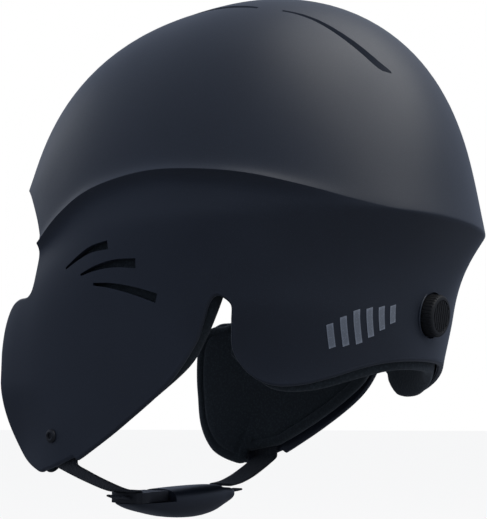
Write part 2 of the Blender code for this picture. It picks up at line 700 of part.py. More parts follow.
def make_webbing():
    finish(ribbon("chin_web_left", LEFT_WEB, WEB, STRAP_HALF), WEB_MAT)
    right = ribbon("chin_web_right", RIGHT_WEB, WEB, STRAP_HALF)
    hang(finish(right, WEB_MAT), STRAP_AXIS)
    tail = ribbon("strap_tail", ((46.6, -141.9), (49.5, -141.4), (53, -140.4)), 1.3, 6.0)
    finish(tail, WEB_MAT)


def boat_ring(shape, x, half, top, bottom, count=16):
    """One station of the boat: a squared oval, fuller at the top."""
    middle, tall = (top + bottom) / 2, (top - bottom) / 2
    ring = []
    for k in range(count):
        a = 2 * math.pi * k / count
        c, s = math.cos(a), math.sin(a)
        across = half * math.copysign(abs(c) ** 0.72, c)
        height = middle + tall * math.copysign(abs(s) ** (0.62 if s > 0 else 0.85), s)
        ring.append(shape.verts.new(Vector((x, across, height)) * MM))
    return ring


def boat_hull(name):
    """A loft through the stations, closed at both ends."""
    shape = bmesh.new()
    rings = [boat_ring(shape, *station) for station in BOAT]
    for near, far in zip(rings, rings[1:]):
        for k in range(len(near)):
            shape.faces.new((near[k - 1], near[k], far[k], far[k - 1]))
    shape.faces.new(rings[0])
    shape.faces.new(rings[-1][::-1])
    bmesh.ops.recalc_face_normals(shape, faces=shape.faces)
    return from_shape(name, shape, (0, STRAP_Y, 0))


def strap_block(name, xs, half, zs, group=CUTTERS):
    """A box on the strap's middle line, between two x and two z values."""
    return block(name, (xs[0], STRAP_Y - half, zs[0]), (xs[1], STRAP_Y + half, zs[1]), group=group)


def make_buckle_body():
    body = boat_hull("buckle_body")
    boolean(body, strap_block("tray", (16, 60), 20, (-145, -130)))
    boolean(body, strap_block("web_slot", (-60, -33), 9.6, (-139.9, -130)))
    boolean(body, strap_block("release_slot", (-60, -25), 5.4, (-144, -141)))
    boolean(body, strap_block("magnet_seat", (MAGNET_X - 5.3, MAGNET_X + 5.3), 5.3, (-147.3, -140)))
    hang(finish(one_body(body), SHELL_MAT), STRAP_AXIS)
    magnet = cylinder("body_magnet", MAGNET_R, -147.0, -145.3, 20, (MAGNET_X, STRAP_Y, 0), group=PARTS)
    hang(finish(magnet, STEEL_MAT), STRAP_AXIS)


def make_buckle_tongue():
    tongue = strap_block("buckle_tongue", (17, 46), 9.5, (-144.7, -138.9), PARTS)
    soft = tongue.modifiers.new("soft_edges", "BEVEL")
    soft.width = 1.4 * MM
    soft.segments = 2
    boolean(tongue, cylinder("tongue_pocket", 5.0, -146.0, -142.3, 20, (MAGNET_X, STRAP_Y, 0)))
    finish(one_body(tongue), DARK_MAT)
    magnet = cylinder("tongue_magnet", MAGNET_R, -144.4, -142.6, 20, (MAGNET_X, STRAP_Y, 0), group=PARTS)
    finish(magnet, STEEL_MAT)


def make_release():
    release = strap_block("release_slide", (-46.6, -32), 5.0, (-143.6, -141.4), PARTS)
    hang(finish(release, DARK_MAT), STRAP_AXIS)
    tab = ribbon("pull_tab", ((-47.8, -142.5), (-51, -142.4), (-55, -142.2), (-59.5, -141.8)), 1.3, 4.0)
    hang(finish(tab, DARK_MAT), TAB_AXIS)


make_shell()
make_liner()
make_cheek_pads()
make_nape_lining()
make_fitting_pads()
make_knob()
make_gears()
make_gearbox()
make_cradle()
make_strap_anchors()
make_webbing()
make_buckle_body()
make_buckle_tongue()
make_release()
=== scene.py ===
# The visual model of the water helmet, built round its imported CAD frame.
# Shapes are worked out in millimetres in the helmet's own design frame and placed by ORIGIN.
import json
import math

import bmesh
import bpy
from mathutils import Matrix, Vector


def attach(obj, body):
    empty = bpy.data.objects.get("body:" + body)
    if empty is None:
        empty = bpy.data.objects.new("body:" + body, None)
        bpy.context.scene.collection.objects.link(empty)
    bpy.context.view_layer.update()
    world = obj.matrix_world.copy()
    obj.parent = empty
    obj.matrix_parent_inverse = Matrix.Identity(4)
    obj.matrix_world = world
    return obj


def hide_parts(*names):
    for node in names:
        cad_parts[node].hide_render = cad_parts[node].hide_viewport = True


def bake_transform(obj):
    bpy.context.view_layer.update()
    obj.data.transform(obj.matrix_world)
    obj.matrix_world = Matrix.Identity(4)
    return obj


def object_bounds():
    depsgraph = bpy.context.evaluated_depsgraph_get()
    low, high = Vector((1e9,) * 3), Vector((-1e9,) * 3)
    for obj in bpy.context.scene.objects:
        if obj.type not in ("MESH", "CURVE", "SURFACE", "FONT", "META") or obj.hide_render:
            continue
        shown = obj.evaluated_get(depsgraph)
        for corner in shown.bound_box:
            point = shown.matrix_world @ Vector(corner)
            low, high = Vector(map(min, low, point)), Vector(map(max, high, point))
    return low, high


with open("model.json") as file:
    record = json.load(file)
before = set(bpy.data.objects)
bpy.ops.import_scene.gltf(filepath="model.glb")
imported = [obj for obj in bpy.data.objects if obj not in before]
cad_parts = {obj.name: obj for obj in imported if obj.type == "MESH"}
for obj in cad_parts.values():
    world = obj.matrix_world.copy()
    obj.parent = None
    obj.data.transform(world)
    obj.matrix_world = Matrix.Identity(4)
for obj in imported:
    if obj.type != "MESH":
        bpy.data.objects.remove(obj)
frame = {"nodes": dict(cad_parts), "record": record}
CAD_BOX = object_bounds()
NODES = frame["nodes"]
JOINTS = {joint["name"]: joint for joint in frame["record"]["behaviour"]["joints"]}
MM = 0.001
WELD = 1e-6

# ---- Driving sizes, in millimetres ----
HALF_WIDTH = 108.5
FRONT_HALF = 149.5
REAR_HALF = 128.5
CROWN = 140.0
# Below the widest level the outside leans forwards, tucks in and turns squarer at the front.
FORWARD = 14
SIDE_TUCK = 11
REAR_TUCK = 19
FRONT_SPREAD = 14
LOBE_PULL = 10
CHIN_PULL = 6
# Exponents of the outline in plan and of the dome's three profiles.
PLAN_POWER = 2.06
REAR_BULGE = 2.38
FRONT_BULGE = 2.36
SIDE_BULGE = 2.15
RIDGE_LIP = 2.8
RIDGE_STEP = 2.0
REAR_FLARE = 5.0
BROW_LIP = 2.2
SHELL = 3.2
LINER_IN = 4.1
FOAM = 11.0
DIAL_AT = Vector((0.0, 112.1, -46.3))
DIAL_TILT = 9.0
KNOB_R = 10.8
RECESS_R = 11.9
STRAP_Y = -57.0
STRAP_HALF = 9.0
WEB = 1.6
RIVET_AT = (-62.5, -107.5)
MAGNET_X = 28.3
RIM_R = 1.6
SPINDLE_BORE = 4.3
RIVET_BORE = 2.4
CUT_PAST = 140.0
ORIGIN = Vector(JOINTS["dial_spin"]["pos_m"]) / MM - DIAL_AT

# The ridge as (turn from the rear centre, height).
RIDGE = ((0, -2), (20, -0.5), (32.5, 4), (43, 10), (56.5, 17), (70.5, 21), (82.5, 22.5),
         (96.5, 20.5), (107, 16.5), (118.5, 7.5), (129, -3), (140, -12), (180, -16))
# The shell's lower edge in side view as (y, z); a third value marks a sharp corner.
EDGE = ((118, -68), (102, -72), (85, -79.5), (72, -83.2), (60, -82.8), (51, -77), (46.7, -66.5),
        (48.8, -54), (50, -45), (45.5, -41), (41.5, -43), (36.5, -53.5), (31, -64.5),
        (15.5, -83.5), (-13, -103), (-43, -120, 1), (-46, -118.2, 1), (-60, -123.2),
        (-68, -125.3), (-76, -126.3), (-92, -118.5), (-104, -102), (-109, -78),
        (-108.5, -53), (-104, -38.5), (-96.5, -32.3), (-86, -31.2), (-81.3, -26), (-79.6, -12),
        (-79.6, 0), (-84, 10.5), (-95, 23), (-108, 32), (-128, 37.8), (-155, 39))
EDGE_STEPS = 8
REAR_STRETCH = 5
BROW_STRETCH = 4
# Slots as a spine of points and the width at each: the gills in side view, the crown's in plan.
GILLS = (
    (((-49, -20), (-39, -15.5), (-28, -12), (-15.5, -11)), (1.2, 2.4, 3.6, 4.6)),
    (((-37, -24.5), (-26, -22), (-12, -20.8), (2.5, -22)), (1.2, 2.6, 4.0, 5.0)),
    (((-28, -30), (-15, -31.8), (0, -35.5), (13.5, -40)), (1.4, 2.8, 4.0, 4.8)),
)
REAR_SLOT = (((53, 57.5), (49.5, 71), (46, 86.5), (42, 97.5), (37.5, 105.3), (32, 109.7)),
             (1.2, 1.9, 2.7, 3.2, 3.0, 0.6))
FRONT_SLOT = (((55, 43), (54.5, 34), (53.2, 22), (51, 8), (47.5, -6), (43.5, -16)),
              (1.6, 2.6, 3.6, 4.6, 4.8, 0.8))

# ---- Camera and studio ----
VIEW_TURN = 36.8
VIEW_RISE = -8.8
VIEW_DISTANCE = 620.0
VIEW_AIM = (-6.09, -6.96)
LENS = 74.19
SENSOR_HEIGHT = 36.0
CAMERA_NEAR = 0.01
FLOOR_DROP = 120.0
FLOOR_HALF = 30.0
FLOOR_GLOW = 0.97
GLOW_SHARE = 0.93
WORLD_COLOUR = (0.72, 0.84, 1.12, 1)
WORLD_STRENGTH = 0.46


# ---- Head surface ----
def ease(low, high, value):
    t = min(max((value - low) / (high - low), 0.0), 1.0)
    return t * t * (3 - 2 * t)


def turn_of(th):
    return abs((math.degrees(th) + 180) % 360 - 180)


def ridge(th):
    """Height of the styling ridge at this turn from the rear centre."""
    t = turn_of(th)
    last = len(RIDGE) - 1
    slope = [0.0] * len(RIDGE)
    for i in range(1, last):
        a, b = RIDGE[i - 1], RIDGE[i + 1]
        slope[i] = (b[1] - a[1]) / (b[0] - a[0])
    for i in range(last):
        (x0, y0), (x1, y1) = RIDGE[i], RIDGE[i + 1]
        if t <= x1:
            w = x1 - x0
            u = (t - x0) / w
            start = (2 * u**3 - 3 * u**2 + 1) * y0 + (u**3 - 2 * u**2 + u) * w * slope[i]
            return start + (3 * u**2 - 2 * u**3) * y1 + (u**3 - u**2) * w * slope[i + 1]
    return RIDGE[last][1]


def settled(drop, reach, power):
    """0 at the widest level, rising towards 1 over the reach below it."""
    return 1 - math.exp(-((drop / reach) ** power))


def smooth_point(th, z):
    """The helmet's outside without its ridge; th is measured from the rear centre."""
    drop = max(-z, 0.0)
    c, s = math.cos(th), math.sin(th)
    squarer = settled(drop, 45, 1.5)
    shift = -FORWARD * settled(drop, 50, 1.5)
    wide = HALF_WIDTH - SIDE_TUCK * settled(drop, 55, 1.3)
    if c > 0:
        length = REAR_HALF - REAR_TUCK * settled(drop, 24, 1.15) - shift
        power = PLAN_POWER + 0.1 * squarer
    else:
        length = FRONT_HALF + FRONT_SPREAD * settled(drop, 60, 2) + shift
        power = PLAN_POWER + 1.6 * squarer
    flat = (abs(c / length) ** power + abs(s / wide) ** power) ** (-1 / power)
    bulge = REAR_BULGE * max(c, 0.0) ** 2 + FRONT_BULGE * max(-c, 0.0) ** 2 + SIDE_BULGE * s * s
    rise = min(max(z, 0.0) / CROWN, 1.0)
    r = flat * max(1 - rise**bulge, 0.0) ** (1 / bulge)
    x, y = r * s, r * c + shift
    pull = LOBE_PULL * ease(-42, -84, z) * ease(20, 60, y) * min(1.0, abs(x) / 40)
    pull += CHIN_PULL * ease(-78, -118, z) * ease(-55, -105, y)
    return Vector((x - math.copysign(min(pull, abs(x)), x), y, z))


def zones(th):
    """How much this turn belongs to the side, where the ridge overhangs, and to the rear."""
    t = turn_of(th)
    return ease(25, 60, t) * (1 - ease(128, 140, t)), 1 - ease(20, 60, t)


def ridge_push(th, z):
    """How far the outside stands out from the smooth surface: ridge lip, rear flare, brow lip."""
    side, rear = zones(th)
    brow = BROW_LIP * ease(120, 150, turn_of(th)) * math.exp(-abs(z - 34) / 12)
    above = z - ridge(th)
    round_off = 0.8 + 4.8 * rear
    soft = math.hypot(above, round_off)
    up, down = (soft + above - round_off) / 2, (soft - above - round_off) / 2
    up, down = max(up, 0.0), max(down, 0.0)
    lip = RIDGE_LIP * math.exp(-up / 2.8) * math.exp(-down / 3) - RIDGE_STEP * (1 - math.exp(-down / 4))
    flare = REAR_FLARE * math.exp(-up / 24) * math.exp(-down / 22)
    return side * lip + rear * flare + brow


def normal_at(th, z):
    across = smooth_point(th + 0.01, z) - smooth_point(th - 0.01, z)
    upward = smooth_point(th, min(z + 0.4, CROWN - 0.01)) - smooth_point(th, z - 0.4)
    normal = upward.cross(across).normalized()
    return -normal if normal.dot(smooth_point(th, z)) < 0 else normal


def step_at(th, z):
    """How much further in the inner layers sit, to clear the step under the ridge."""
    side, rear = zones(th)
    under = 1 - ease(-8, 14, z - ridge(th))
    return side * RIDGE_STEP * under - rear * 2.5 * ease(-60, 0, z) * (1 - ease(0, 70, z))


def outer_point(th, z):
    p = smooth_point(th, z)
    push = ridge_push(th, z)
    return Vector((p.x + push * math.sin(th), p.y + push * math.cos(th), z))


def deep(depth):
    """The surface this far below the outside."""
    def surface(th, z):
        z = min(z, CROWN - 0.02)
        return smooth_point(th, z) - normal_at(th, z) * (depth + step_at(th, z))
    return surface


def side_angle(y, z, surface):
    low, high = math.radians(20), math.radians(172)
    for _ in range(26):
        middle = (low + high) / 2
        if surface(middle, z).y > y:
            low = middle
        else:
            high = middle
    return (low + high) / 2


def on_side(y, z, surface):
    """The point of a surface on the wearer's left at this y and z."""
    return surface(side_angle(y, z, surface), z)


# ---- Outlines ----
def between(a, b, c, d, t):
    """Catmull-Rom from b to c, for numbers or vectors."""
    return 0.5 * (2 * b + (c - a) * t + (2 * a - 5 * b + 4 * c - d) * t * t + (3 * b - a - 3 * c + d) * t**3)


def rounded_line(points, per_step):
    """A smooth line through the points; a point with a third value stays a sharp corner."""
    done = []
    last = len(points) - 1
    for i in range(last):
        p1, p2 = points[i], points[i + 1]
        p0 = p1 if i == 0 or len(p1) == 3 else points[i - 1]
        p3 = p2 if i + 1 == last or len(p2) == 3 else points[i + 2]
        for k in range(per_step):
            fours = zip(p0[:2], p1[:2], p2[:2], p3[:2])
            done.append(tuple(between(*four, k / per_step) for four in fours))
    done.append(tuple(points[last][:2]))
    return done


def slot_outline(spine, widths):
    """A tapered slot round a spine of (a, b) points."""
    left, right = [], []
    last = len(spine) - 1
    for i, (a, b) in enumerate(spine):
        a0, b0 = spine[max(i - 1, 0)]
        a1, b1 = spine[min(i + 1, last)]
        run = math.hypot(a1 - a0, b1 - b0)
        na, nb = -(b1 - b0) / run, (a1 - a0) / run
        left.append((a + na * widths[i] / 2, b + nb * widths[i] / 2))
        right.append((a - na * widths[i] / 2, b - nb * widths[i] / 2))
    return rounded_line(left, 4) + rounded_line(right, 4)[::-1]


# ---- Mesh helpers ----
def link(obj):
    bpy.context.scene.collection.objects.link(obj)
    return obj


def mesh_object(name, points, faces):
    """A mesh from millimetre points in the design frame."""
    mesh = bpy.data.meshes.new(name)
    mesh.from_pydata([tuple((Vector(p) + ORIGIN) * MM) for p in points], [], faces)
    made = link(bpy.data.objects.new(name, mesh))
    tidy_mesh(mesh)
    return made


def world_turn(matrix):
    """A design-frame matrix for meshes that are already placed in metres."""
    return (Matrix.Scale(MM, 4) @ Matrix.Translation(ORIGIN) @ matrix
            @ Matrix.Translation(-ORIGIN) @ Matrix.Scale(1 / MM, 4))


def tidy_mesh(mesh):
    """Welds doubled points, drops empty faces and turns every face outwards."""
    b = bmesh.new()
    b.from_mesh(mesh)
    bmesh.ops.remove_doubles(b, verts=b.verts, dist=WELD)
    bmesh.ops.dissolve_degenerate(b, edges=b.edges, dist=WELD)
    bmesh.ops.recalc_face_normals(b, faces=b.faces)
    b.to_mesh(mesh)
    b.free()


def drop_crumbs(mesh):
    """Keeps the biggest connected piece of a mesh."""
    b = bmesh.new()
    b.from_mesh(mesh)
    left, pieces = set(b.verts), []
    while left:
        stack, piece = [left.pop()], []
        while stack:
            v = stack.pop()
            piece.append(v)
            near = {edge.other_vert(v) for edge in v.link_edges} & left
            left -= near
            stack += near
        pieces.append(piece)
    for piece in sorted(pieces, key=len)[:-1]:
        bmesh.ops.delete(b, geom=piece, context="VERTS")
    b.to_mesh(mesh)
    b.free()


def bake(obj):
    """Applies every modifier."""
    bpy.context.view_layer.update()
    mesh = bpy.data.meshes.new_from_object(obj.evaluated_get(bpy.context.evaluated_depsgraph_get()))
    obj.modifiers.clear()
    if obj.type == "MESH":
        obj.data = mesh
        return obj
    name = obj.name
    made = link(bpy.data.objects.new(name + "_mesh", mesh))
    made.matrix_world = obj.matrix_world
    bpy.data.objects.remove(obj)
    made.name = name
    tidy_mesh(mesh)
    return made


def boolean(obj, cutter, kind="DIFFERENCE"):
    step = obj.modifiers.new("cut", "BOOLEAN")
    step.operation = kind
    step.solver = "EXACT"
    step.object = cutter
    bake(obj)
    bpy.data.objects.remove(cutter)


def smooth(obj, angle=35.0):
    obj.data.shade_smooth()
    obj.data.set_sharp_from_angle(angle=math.radians(angle))
    return obj


def tube_faces(rings, around):
    """The side faces between rings of points, and a flat cap at each end."""
    faces = [tuple(range(around)), tuple(range((rings - 1) * around, rings * around))[::-1]]
    for first in range(0, (rings - 1) * around, around):
        for k in range(around):
            a, b = first + k, first + (k + 1) % around
            faces.append((a, b, b + around, a + around))
    return faces


def prism(name, outline, half, axis="x", at=0.0):
    def place(a, b, c):
        return {"x": (c, a, b), "y": (a, c, b), "z": (a, b, c)}[axis]

    n = len(outline)
    points = [place(a, b, at - half) for a, b in outline]
    points += [place(a, b, at + half) for a, b in outline]
    faces = [tuple(range(n)), tuple(range(2 * n - 1, n - 1, -1))]
    faces += [(i, (i + 1) % n, n + (i + 1) % n, n + i) for i in range(n)]
    return mesh_object(name, points, faces)


def block(name, low, high):
    (x0, y0, z0), (x1, y1, z1) = low, high
    return prism(name, ((x0, y0), (x1, y0), (x1, y1), (x0, y1)), (z1 - z0) / 2, "z", (z0 + z1) / 2)


def turned(name, profile, steps, matrix, closed=False):
    """A solid turned about local z from (radius, height) points; a closed profile makes a ring."""
    n = len(profile)
    points = []
    for k in range(steps):
        a = 2 * math.pi * k / steps
        points += [matrix @ Vector((r * math.cos(a), r * math.sin(a), h)) for r, h in profile]
    faces = []
    for k in range(steps):
        p, q = k * n, ((k + 1) % steps) * n
        faces += [(p + i, q + i, q + (i + 1) % n, p + (i + 1) % n) for i in range(n - (0 if closed else 1))]
    if not closed:
        faces.append(tuple(k * n for k in range(steps))[::-1])
        faces.append(tuple(k * n + n - 1 for k in range(steps)))
    return mesh_object(name, points, faces)


def bead(name, path, radius):
    """A closed round bead along millimetre points."""
    curve = bpy.data.curves.new(name, "CURVE")
    curve.dimensions = "3D"
    curve.bevel_depth = radius * MM
    curve.bevel_resolution = 4
    line = curve.splines.new("POLY")
    line.points.add(len(path) - 1)
    for spot, p in zip(line.points, path):
        spot.co = (*((Vector(p) + ORIGIN) * MM), 1.0)
    line.use_cyclic_u = True
    return smooth(bake(link(bpy.data.objects.new(name, curve))), 60)


def spread(first, last, count):
    return [first + (last - first) * i / (count - 1) for i in range(count)]


def wall(name, outside, inside, columns, levels):
    """A closed wall between two surfaces, all the way round and capped at the crown."""
    points, faces = [], []
    count = len(levels(0.0))
    for surface in (outside, inside):
        for i in range(columns):
            th = 2 * math.pi * i / columns
            points += [surface(th, z) for z in levels(th)]
        points.append(surface(0.0, CROWN))
    layer = columns * count + 1
    for k in range(2):
        base, flip = k * layer, k == 1
        for i in range(columns):
            a, b = base + i * count, base + ((i + 1) % columns) * count
            for j in range(count - 1):
                face = (a + j, b + j, b + j + 1, a + j + 1)
                faces.append(face[::-1] if flip else face)
            cap = (a + count - 1, b + count - 1, base + layer - 1)
            faces.append(cap[::-1] if flip else cap)
    for i in range(columns):
        a, b = i * count, ((i + 1) % columns) * count
        faces.append((b, a, layer + a, layer + b))
    return mesh_object(name, points, faces)


def patch(name, outside, inside, us, vs):
    """A closed block between two surfaces over a grid of (u, v)."""
    rows = len(vs)
    points, faces = [], []
    for surface in (outside, inside):
        points += [surface(u, v) for u in us for v in vs]
    layer, columns = len(us) * rows, len(us)
    for i in range(columns - 1):
        for j in range(rows - 1):
            a = i * rows + j
            face = (a, a + rows, a + rows + 1, a + 1)
            faces.append(face)
            faces.append(tuple(layer + v for v in face[::-1]))
    ring = [i * rows for i in range(columns)]
    ring += [(columns - 1) * rows + j for j in range(1, rows)]
    ring += [i * rows + rows - 1 for i in range(columns - 2, -1, -1)]
    ring += [j for j in range(rows - 2, 0, -1)]
    for a, b in zip(ring, ring[1:] + ring[:1]):
        faces.append((b, a, layer + a, layer + b))
    return mesh_object(name, points, faces)


def mirror_copy(obj, name):
    mesh = obj.data.copy()
    mesh.transform(Matrix.Scale(-1, 4, (1, 0, 0)))
    mesh.flip_normals()
    return link(bpy.data.objects.new(name, mesh))


def dress_pair(left, name, mat, slot, node, angle):
    """Finishes a piece and its mirror image on the wearer's right."""
    right = mirror_copy(left, name + "_right")
    dress(left, mat, "helmet", slot, node + "_left", angle=angle)
    dress(right, mat, "helmet", slot, node + "_right", angle=angle)


def dress(obj, mat, body, slot, *replaced, angle=35.0):
    """Finish, shading and body of one piece; the slot argument is not used."""
    obj.data.materials.clear()
    obj.data.materials.append(mat)
    for face in obj.data.polygons:
        face.material_index = 0
    smooth(obj, angle)
    if body:
        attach(obj, body)
    if replaced:
        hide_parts(*replaced)


# ---- Materials ----
class Nodes:
    """Short names for building one node material."""

    def __init__(self, name):
        self.mat = bpy.data.materials.new(name)
        self.mat.use_nodes = True
        self.tree = self.mat.node_tree
        self.shader = self.tree.nodes["Principled BSDF"]
        self.place = self.add("ShaderNodeTexCoord").outputs["Object"]

    def add(self, kind, **values):
        node = self.tree.nodes.new(kind)
        for key, value in values.items():
            if hasattr(node, key):
                setattr(node, key, value)
            else:
                node.inputs[key.replace("_", " ")].default_value = value
        return node

    def wire(self, source, target):
        self.tree.links.new(source, target)

    def noise(self, scale, detail=3.0, rough=0.5):
        node = self.add("ShaderNodeTexNoise", Scale=scale, Detail=detail, Roughness=rough)
        self.wire(self.place, node.inputs["Vector"])
        return node.outputs["Fac"]

    def cells(self, scale, feature="F1"):
        node = self.add("ShaderNodeTexVoronoi", feature=feature, Scale=scale)
        self.wire(self.place, node.inputs["Vector"])
        return node.outputs["Distance"]

    def span(self, value, low, high, to_low, to_high):
        node = self.add("ShaderNodeMapRange")
        for key, number in zip(("From Min", "From Max", "To Min", "To Max"), (low, high, to_low, to_high)):
            node.inputs[key].default_value = number
        self.wire(value, node.inputs["Value"])
        return node.outputs["Result"]

    def sum(self, a, b, kind="ADD"):
        node = self.add("ShaderNodeMath", operation=kind)
        self.wire(a, node.inputs[0])
        if isinstance(b, (int, float)):
            node.inputs[1].default_value = b
        else:
            self.wire(b, node.inputs[1])
        return node.outputs[0]

    def mix(self, fac, a, b):
        node = self.add("ShaderNodeMix", data_type="RGBA")
        self.wire(fac, node.inputs["Factor"])
        for value, slot in ((a, node.inputs[6]), (b, node.inputs[7])):
            if isinstance(value, tuple):
                slot.default_value = (*value, 1.0)
            else:
                self.wire(value, slot)
        return node.outputs[2]

    def colour(self, value):
        self.wire(value, self.shader.inputs["Base Color"])

    def rough(self, value):
        if isinstance(value, (int, float)):
            self.shader.inputs["Roughness"].default_value = value
        else:
            self.wire(value, self.shader.inputs["Roughness"])

    def bump(self, height, depth_mm, strength):
        node = self.add("ShaderNodeBump", Strength=strength, Distance=depth_mm * MM)
        self.wire(height, node.inputs["Height"])
        self.wire(node.outputs["Normal"], self.shader.inputs["Normal"])

    def wear(self):
        """1 on sharp convex edges."""
        point = self.add("ShaderNodeNewGeometry").outputs["Pointiness"]
        return self.span(point, 0.53, 0.62, 0.0, 1.0)


def lighter(colour, by):
    return tuple(min(c * by, 1.0) for c in colour)


def moulded(name, colour, rough, grain, depth, specular):
    """Moulded plastic: fine spark grain, slow cloudiness, faint scuffs and paler worn edges."""
    n = Nodes(name)
    slow = n.noise(14.0, 4.0)
    fine = n.noise(grain, 2.0)
    tone = n.mix(n.span(slow, 0.35, 0.65, 0.0, 1.0), lighter(colour, 0.88), lighter(colour, 1.12))
    speck = n.span(n.noise(grain * 1.7, 0.0), 0.62, 0.72, 0.0, 0.22)
    tone = n.mix(speck, tone, lighter(colour, 2.2))
    tone = n.mix(n.sum(n.wear(), 0.5, "MULTIPLY"), tone, lighter(colour, 2.0))
    n.colour(tone)
    n.rough(n.span(n.sum(slow, n.sum(fine, 0.4, "MULTIPLY")), 0.4, 1.0, rough - 0.05, rough + 0.07))
    n.bump(fine, depth, 0.6)
    n.shader.inputs["Specular IOR Level"].default_value = specular
    return n.mat


def lining(name, colour):
    """Brushed knit over foam: round knit cells with a soft fuzzy sheen."""
    n = Nodes(name)
    knit = n.cells(620.0)
    fuzz = n.noise(1400.0, 3.0)
    slow = n.noise(22.0, 3.0)
    tone = n.mix(n.span(knit, 0.0, 0.55, 0.0, 1.0), lighter(colour, 1.35), lighter(colour, 0.6))
    n.colour(n.mix(n.span(slow, 0.3, 0.7, 0.0, 0.5), tone, lighter(colour, 0.75)))
    n.rough(n.span(fuzz, 0.3, 0.7, 0.86, 1.0))
    n.bump(n.sum(n.sum(knit, -1.0, "MULTIPLY"), n.sum(fuzz, 0.5, "MULTIPLY")), 0.25, 0.7)
    n.shader.inputs["Sheen Weight"].default_value = 0.12
    n.shader.inputs["Sheen Roughness"].default_value = 0.5
    return n.mat


def bead_foam(name, colour):
    """Expanded foam: rounded beads pressed together."""
    n = Nodes(name)
    beads = n.cells(330.0)
    gaps = n.cells(330.0, "DISTANCE_TO_EDGE")
    tone = n.mix(n.span(gaps, 0.0, 0.12, 0.0, 1.0), lighter(colour, 0.45), lighter(colour, 1.25))
    n.colour(n.mix(n.span(n.noise(40.0), 0.3, 0.7, 0.0, 0.5), tone, lighter(colour, 0.8)))
    n.rough(n.span(beads, 0.0, 0.6, 0.7, 0.92))
    n.bump(n.span(gaps, 0.0, 0.2, 0.0, 1.0), 0.5, 0.8)
    return n.mat


def woven(name, colour):
    """Webbing: a ribbed twill laid out by the strip's own length and width (its UV map, in metres)."""
    n = Nodes(name)
    uv = n.add("ShaderNodeUVMap", uv_map="weave").outputs["UV"]
    split = n.add("ShaderNodeSeparateXYZ")
    n.wire(uv, split.inputs[0])
    along, across = split.outputs["X"], split.outputs["Y"]

    def wave(value, pitch_mm):
        turn = n.sum(value, 2 * math.pi / (pitch_mm * MM), "MULTIPLY")
        return n.sum(turn, 0.0, "SINE")

    rib = wave(across, 1.15)
    pick = wave(n.sum(along, across), 1.5)
    height = n.sum(n.sum(rib, 0.6, "MULTIPLY"), n.sum(pick, 0.5, "MULTIPLY"))
    tone = n.mix(n.span(height, -1.0, 1.0, 0.0, 1.0), lighter(colour, 0.5), lighter(colour, 1.5))
    n.colour(n.mix(n.span(n.noise(60.0), 0.35, 0.65, 0.0, 0.4), tone, lighter(colour, 1.25)))
    n.rough(n.span(n.noise(800.0), 0.3, 0.7, 0.7, 0.9))
    n.bump(height, 0.22, 0.9)
    n.shader.inputs["Sheen Weight"].default_value = 0.08
    return n.mat


def metal(name, colour, rough):
    """Turned stainless steel with a fine noisy grain."""
    n = Nodes(name)
    grain = n.noise(500.0, 4.0, 0.7)
    n.colour(n.mix(n.span(grain, 0.3, 0.7, 0.0, 1.0), lighter(colour, 0.85), lighter(colour, 1.05)))
    n.shader.inputs["Metallic"].default_value = 1.0
    n.rough(n.span(n.noise(120.0), 0.3, 0.7, rough - 0.06, rough + 0.08))
    n.bump(grain, 0.02, 0.4)
    return n.mat


SHELL_MAT = moulded("shell_plastic", (0.0165, 0.0205, 0.0290), 0.46, 1100.0, 0.03, 0.42)
BUCKLE_MAT = moulded("buckle_plastic", (0.014, 0.017, 0.024), 0.44, 900.0, 0.04, 0.42)
DARK_MAT = moulded("dark_plastic", (0.0085, 0.0085, 0.010), 0.48, 800.0, 0.05, 0.4)
KNOB_MAT = moulded("dial_plastic", (0.0085, 0.0085, 0.0085), 0.62, 700.0, 0.06, 0.35)
INNER_MAT = moulded("inner_plastic", (0.012, 0.013, 0.015), 0.55, 600.0, 0.06, 0.35)
MARK_MAT = moulded("printed_mark", (0.20, 0.215, 0.235), 0.5, 900.0, 0.02, 0.3)
LINING_MAT = lining("lining_fabric", (0.026, 0.034, 0.037))
FOAM_MAT = bead_foam("bead_foam", (0.016, 0.017, 0.018))
WEB_MAT = woven("webbing", (0.010, 0.0115, 0.0145))
STEEL_MAT = metal("stainless", (0.16, 0.165, 0.175), 0.38)


# ---- Shell ----
def set_back(points, by):
    """The lower edge's points moved into the shell by one distance; sharp corners stay sharp."""
    moved = []
    last = len(points) - 1
    for i, point in enumerate(points):
        near = [Vector(points[k][:2]) for k in (max(i - 1, 0), i, min(i + 1, last))]
        sides = [(b - a).normalized() for a, b in zip(near, near[1:]) if (b - a).length > 0]
        normals = [Vector((side.y, -side.x)) for side in sides]
        middle = sum(normals, Vector((0, 0))).normalized()
        reach = by / max(middle.dot(normals[0]), 0.6)
        moved.append((point[0] + middle.x * reach, point[1] + middle.y * reach, *point[2:]))
    return moved


EDGE_LINE = rounded_line(set_back(EDGE, RIM_R), EDGE_STEPS)
SHELL_LOW = -131.0
NEAR_RIDGE = (0.35, 0.75, 1.2, 1.8, 2.6, 3.6, 5.0, 7.0, 9.5, 13.0, 18.0)


def shell_levels(th):
    z0, far = ridge(th), NEAR_RIDGE[-1]
    below = [z0 - far - (z0 - far - SHELL_LOW) * i / 46 for i in range(46, 0, -1)]
    near = [z0 - d for d in NEAR_RIDGE[::-1]] + [z0] + [z0 + d for d in NEAR_RIDGE]
    above = [z0 + far + (CROWN - z0 - far) * math.sin(math.radians(90 * i / 34)) for i in range(1, 34)]
    return below + near + above


def cut_crown_slots(obj):
    for sign in (1, -1):
        for slot in (REAR_SLOT, FRONT_SLOT):
            outline = [(sign * a, b) for a, b in slot_outline(*slot)]
            boolean(obj, prism("crown_cut", outline, 45.0, "z", 105.0))


def dial_matrix():
    """Local z points out along the dial's axis."""
    return Matrix.Translation(DIAL_AT) @ Matrix.Rotation(math.radians(-90 - DIAL_TILT), 4, "X")


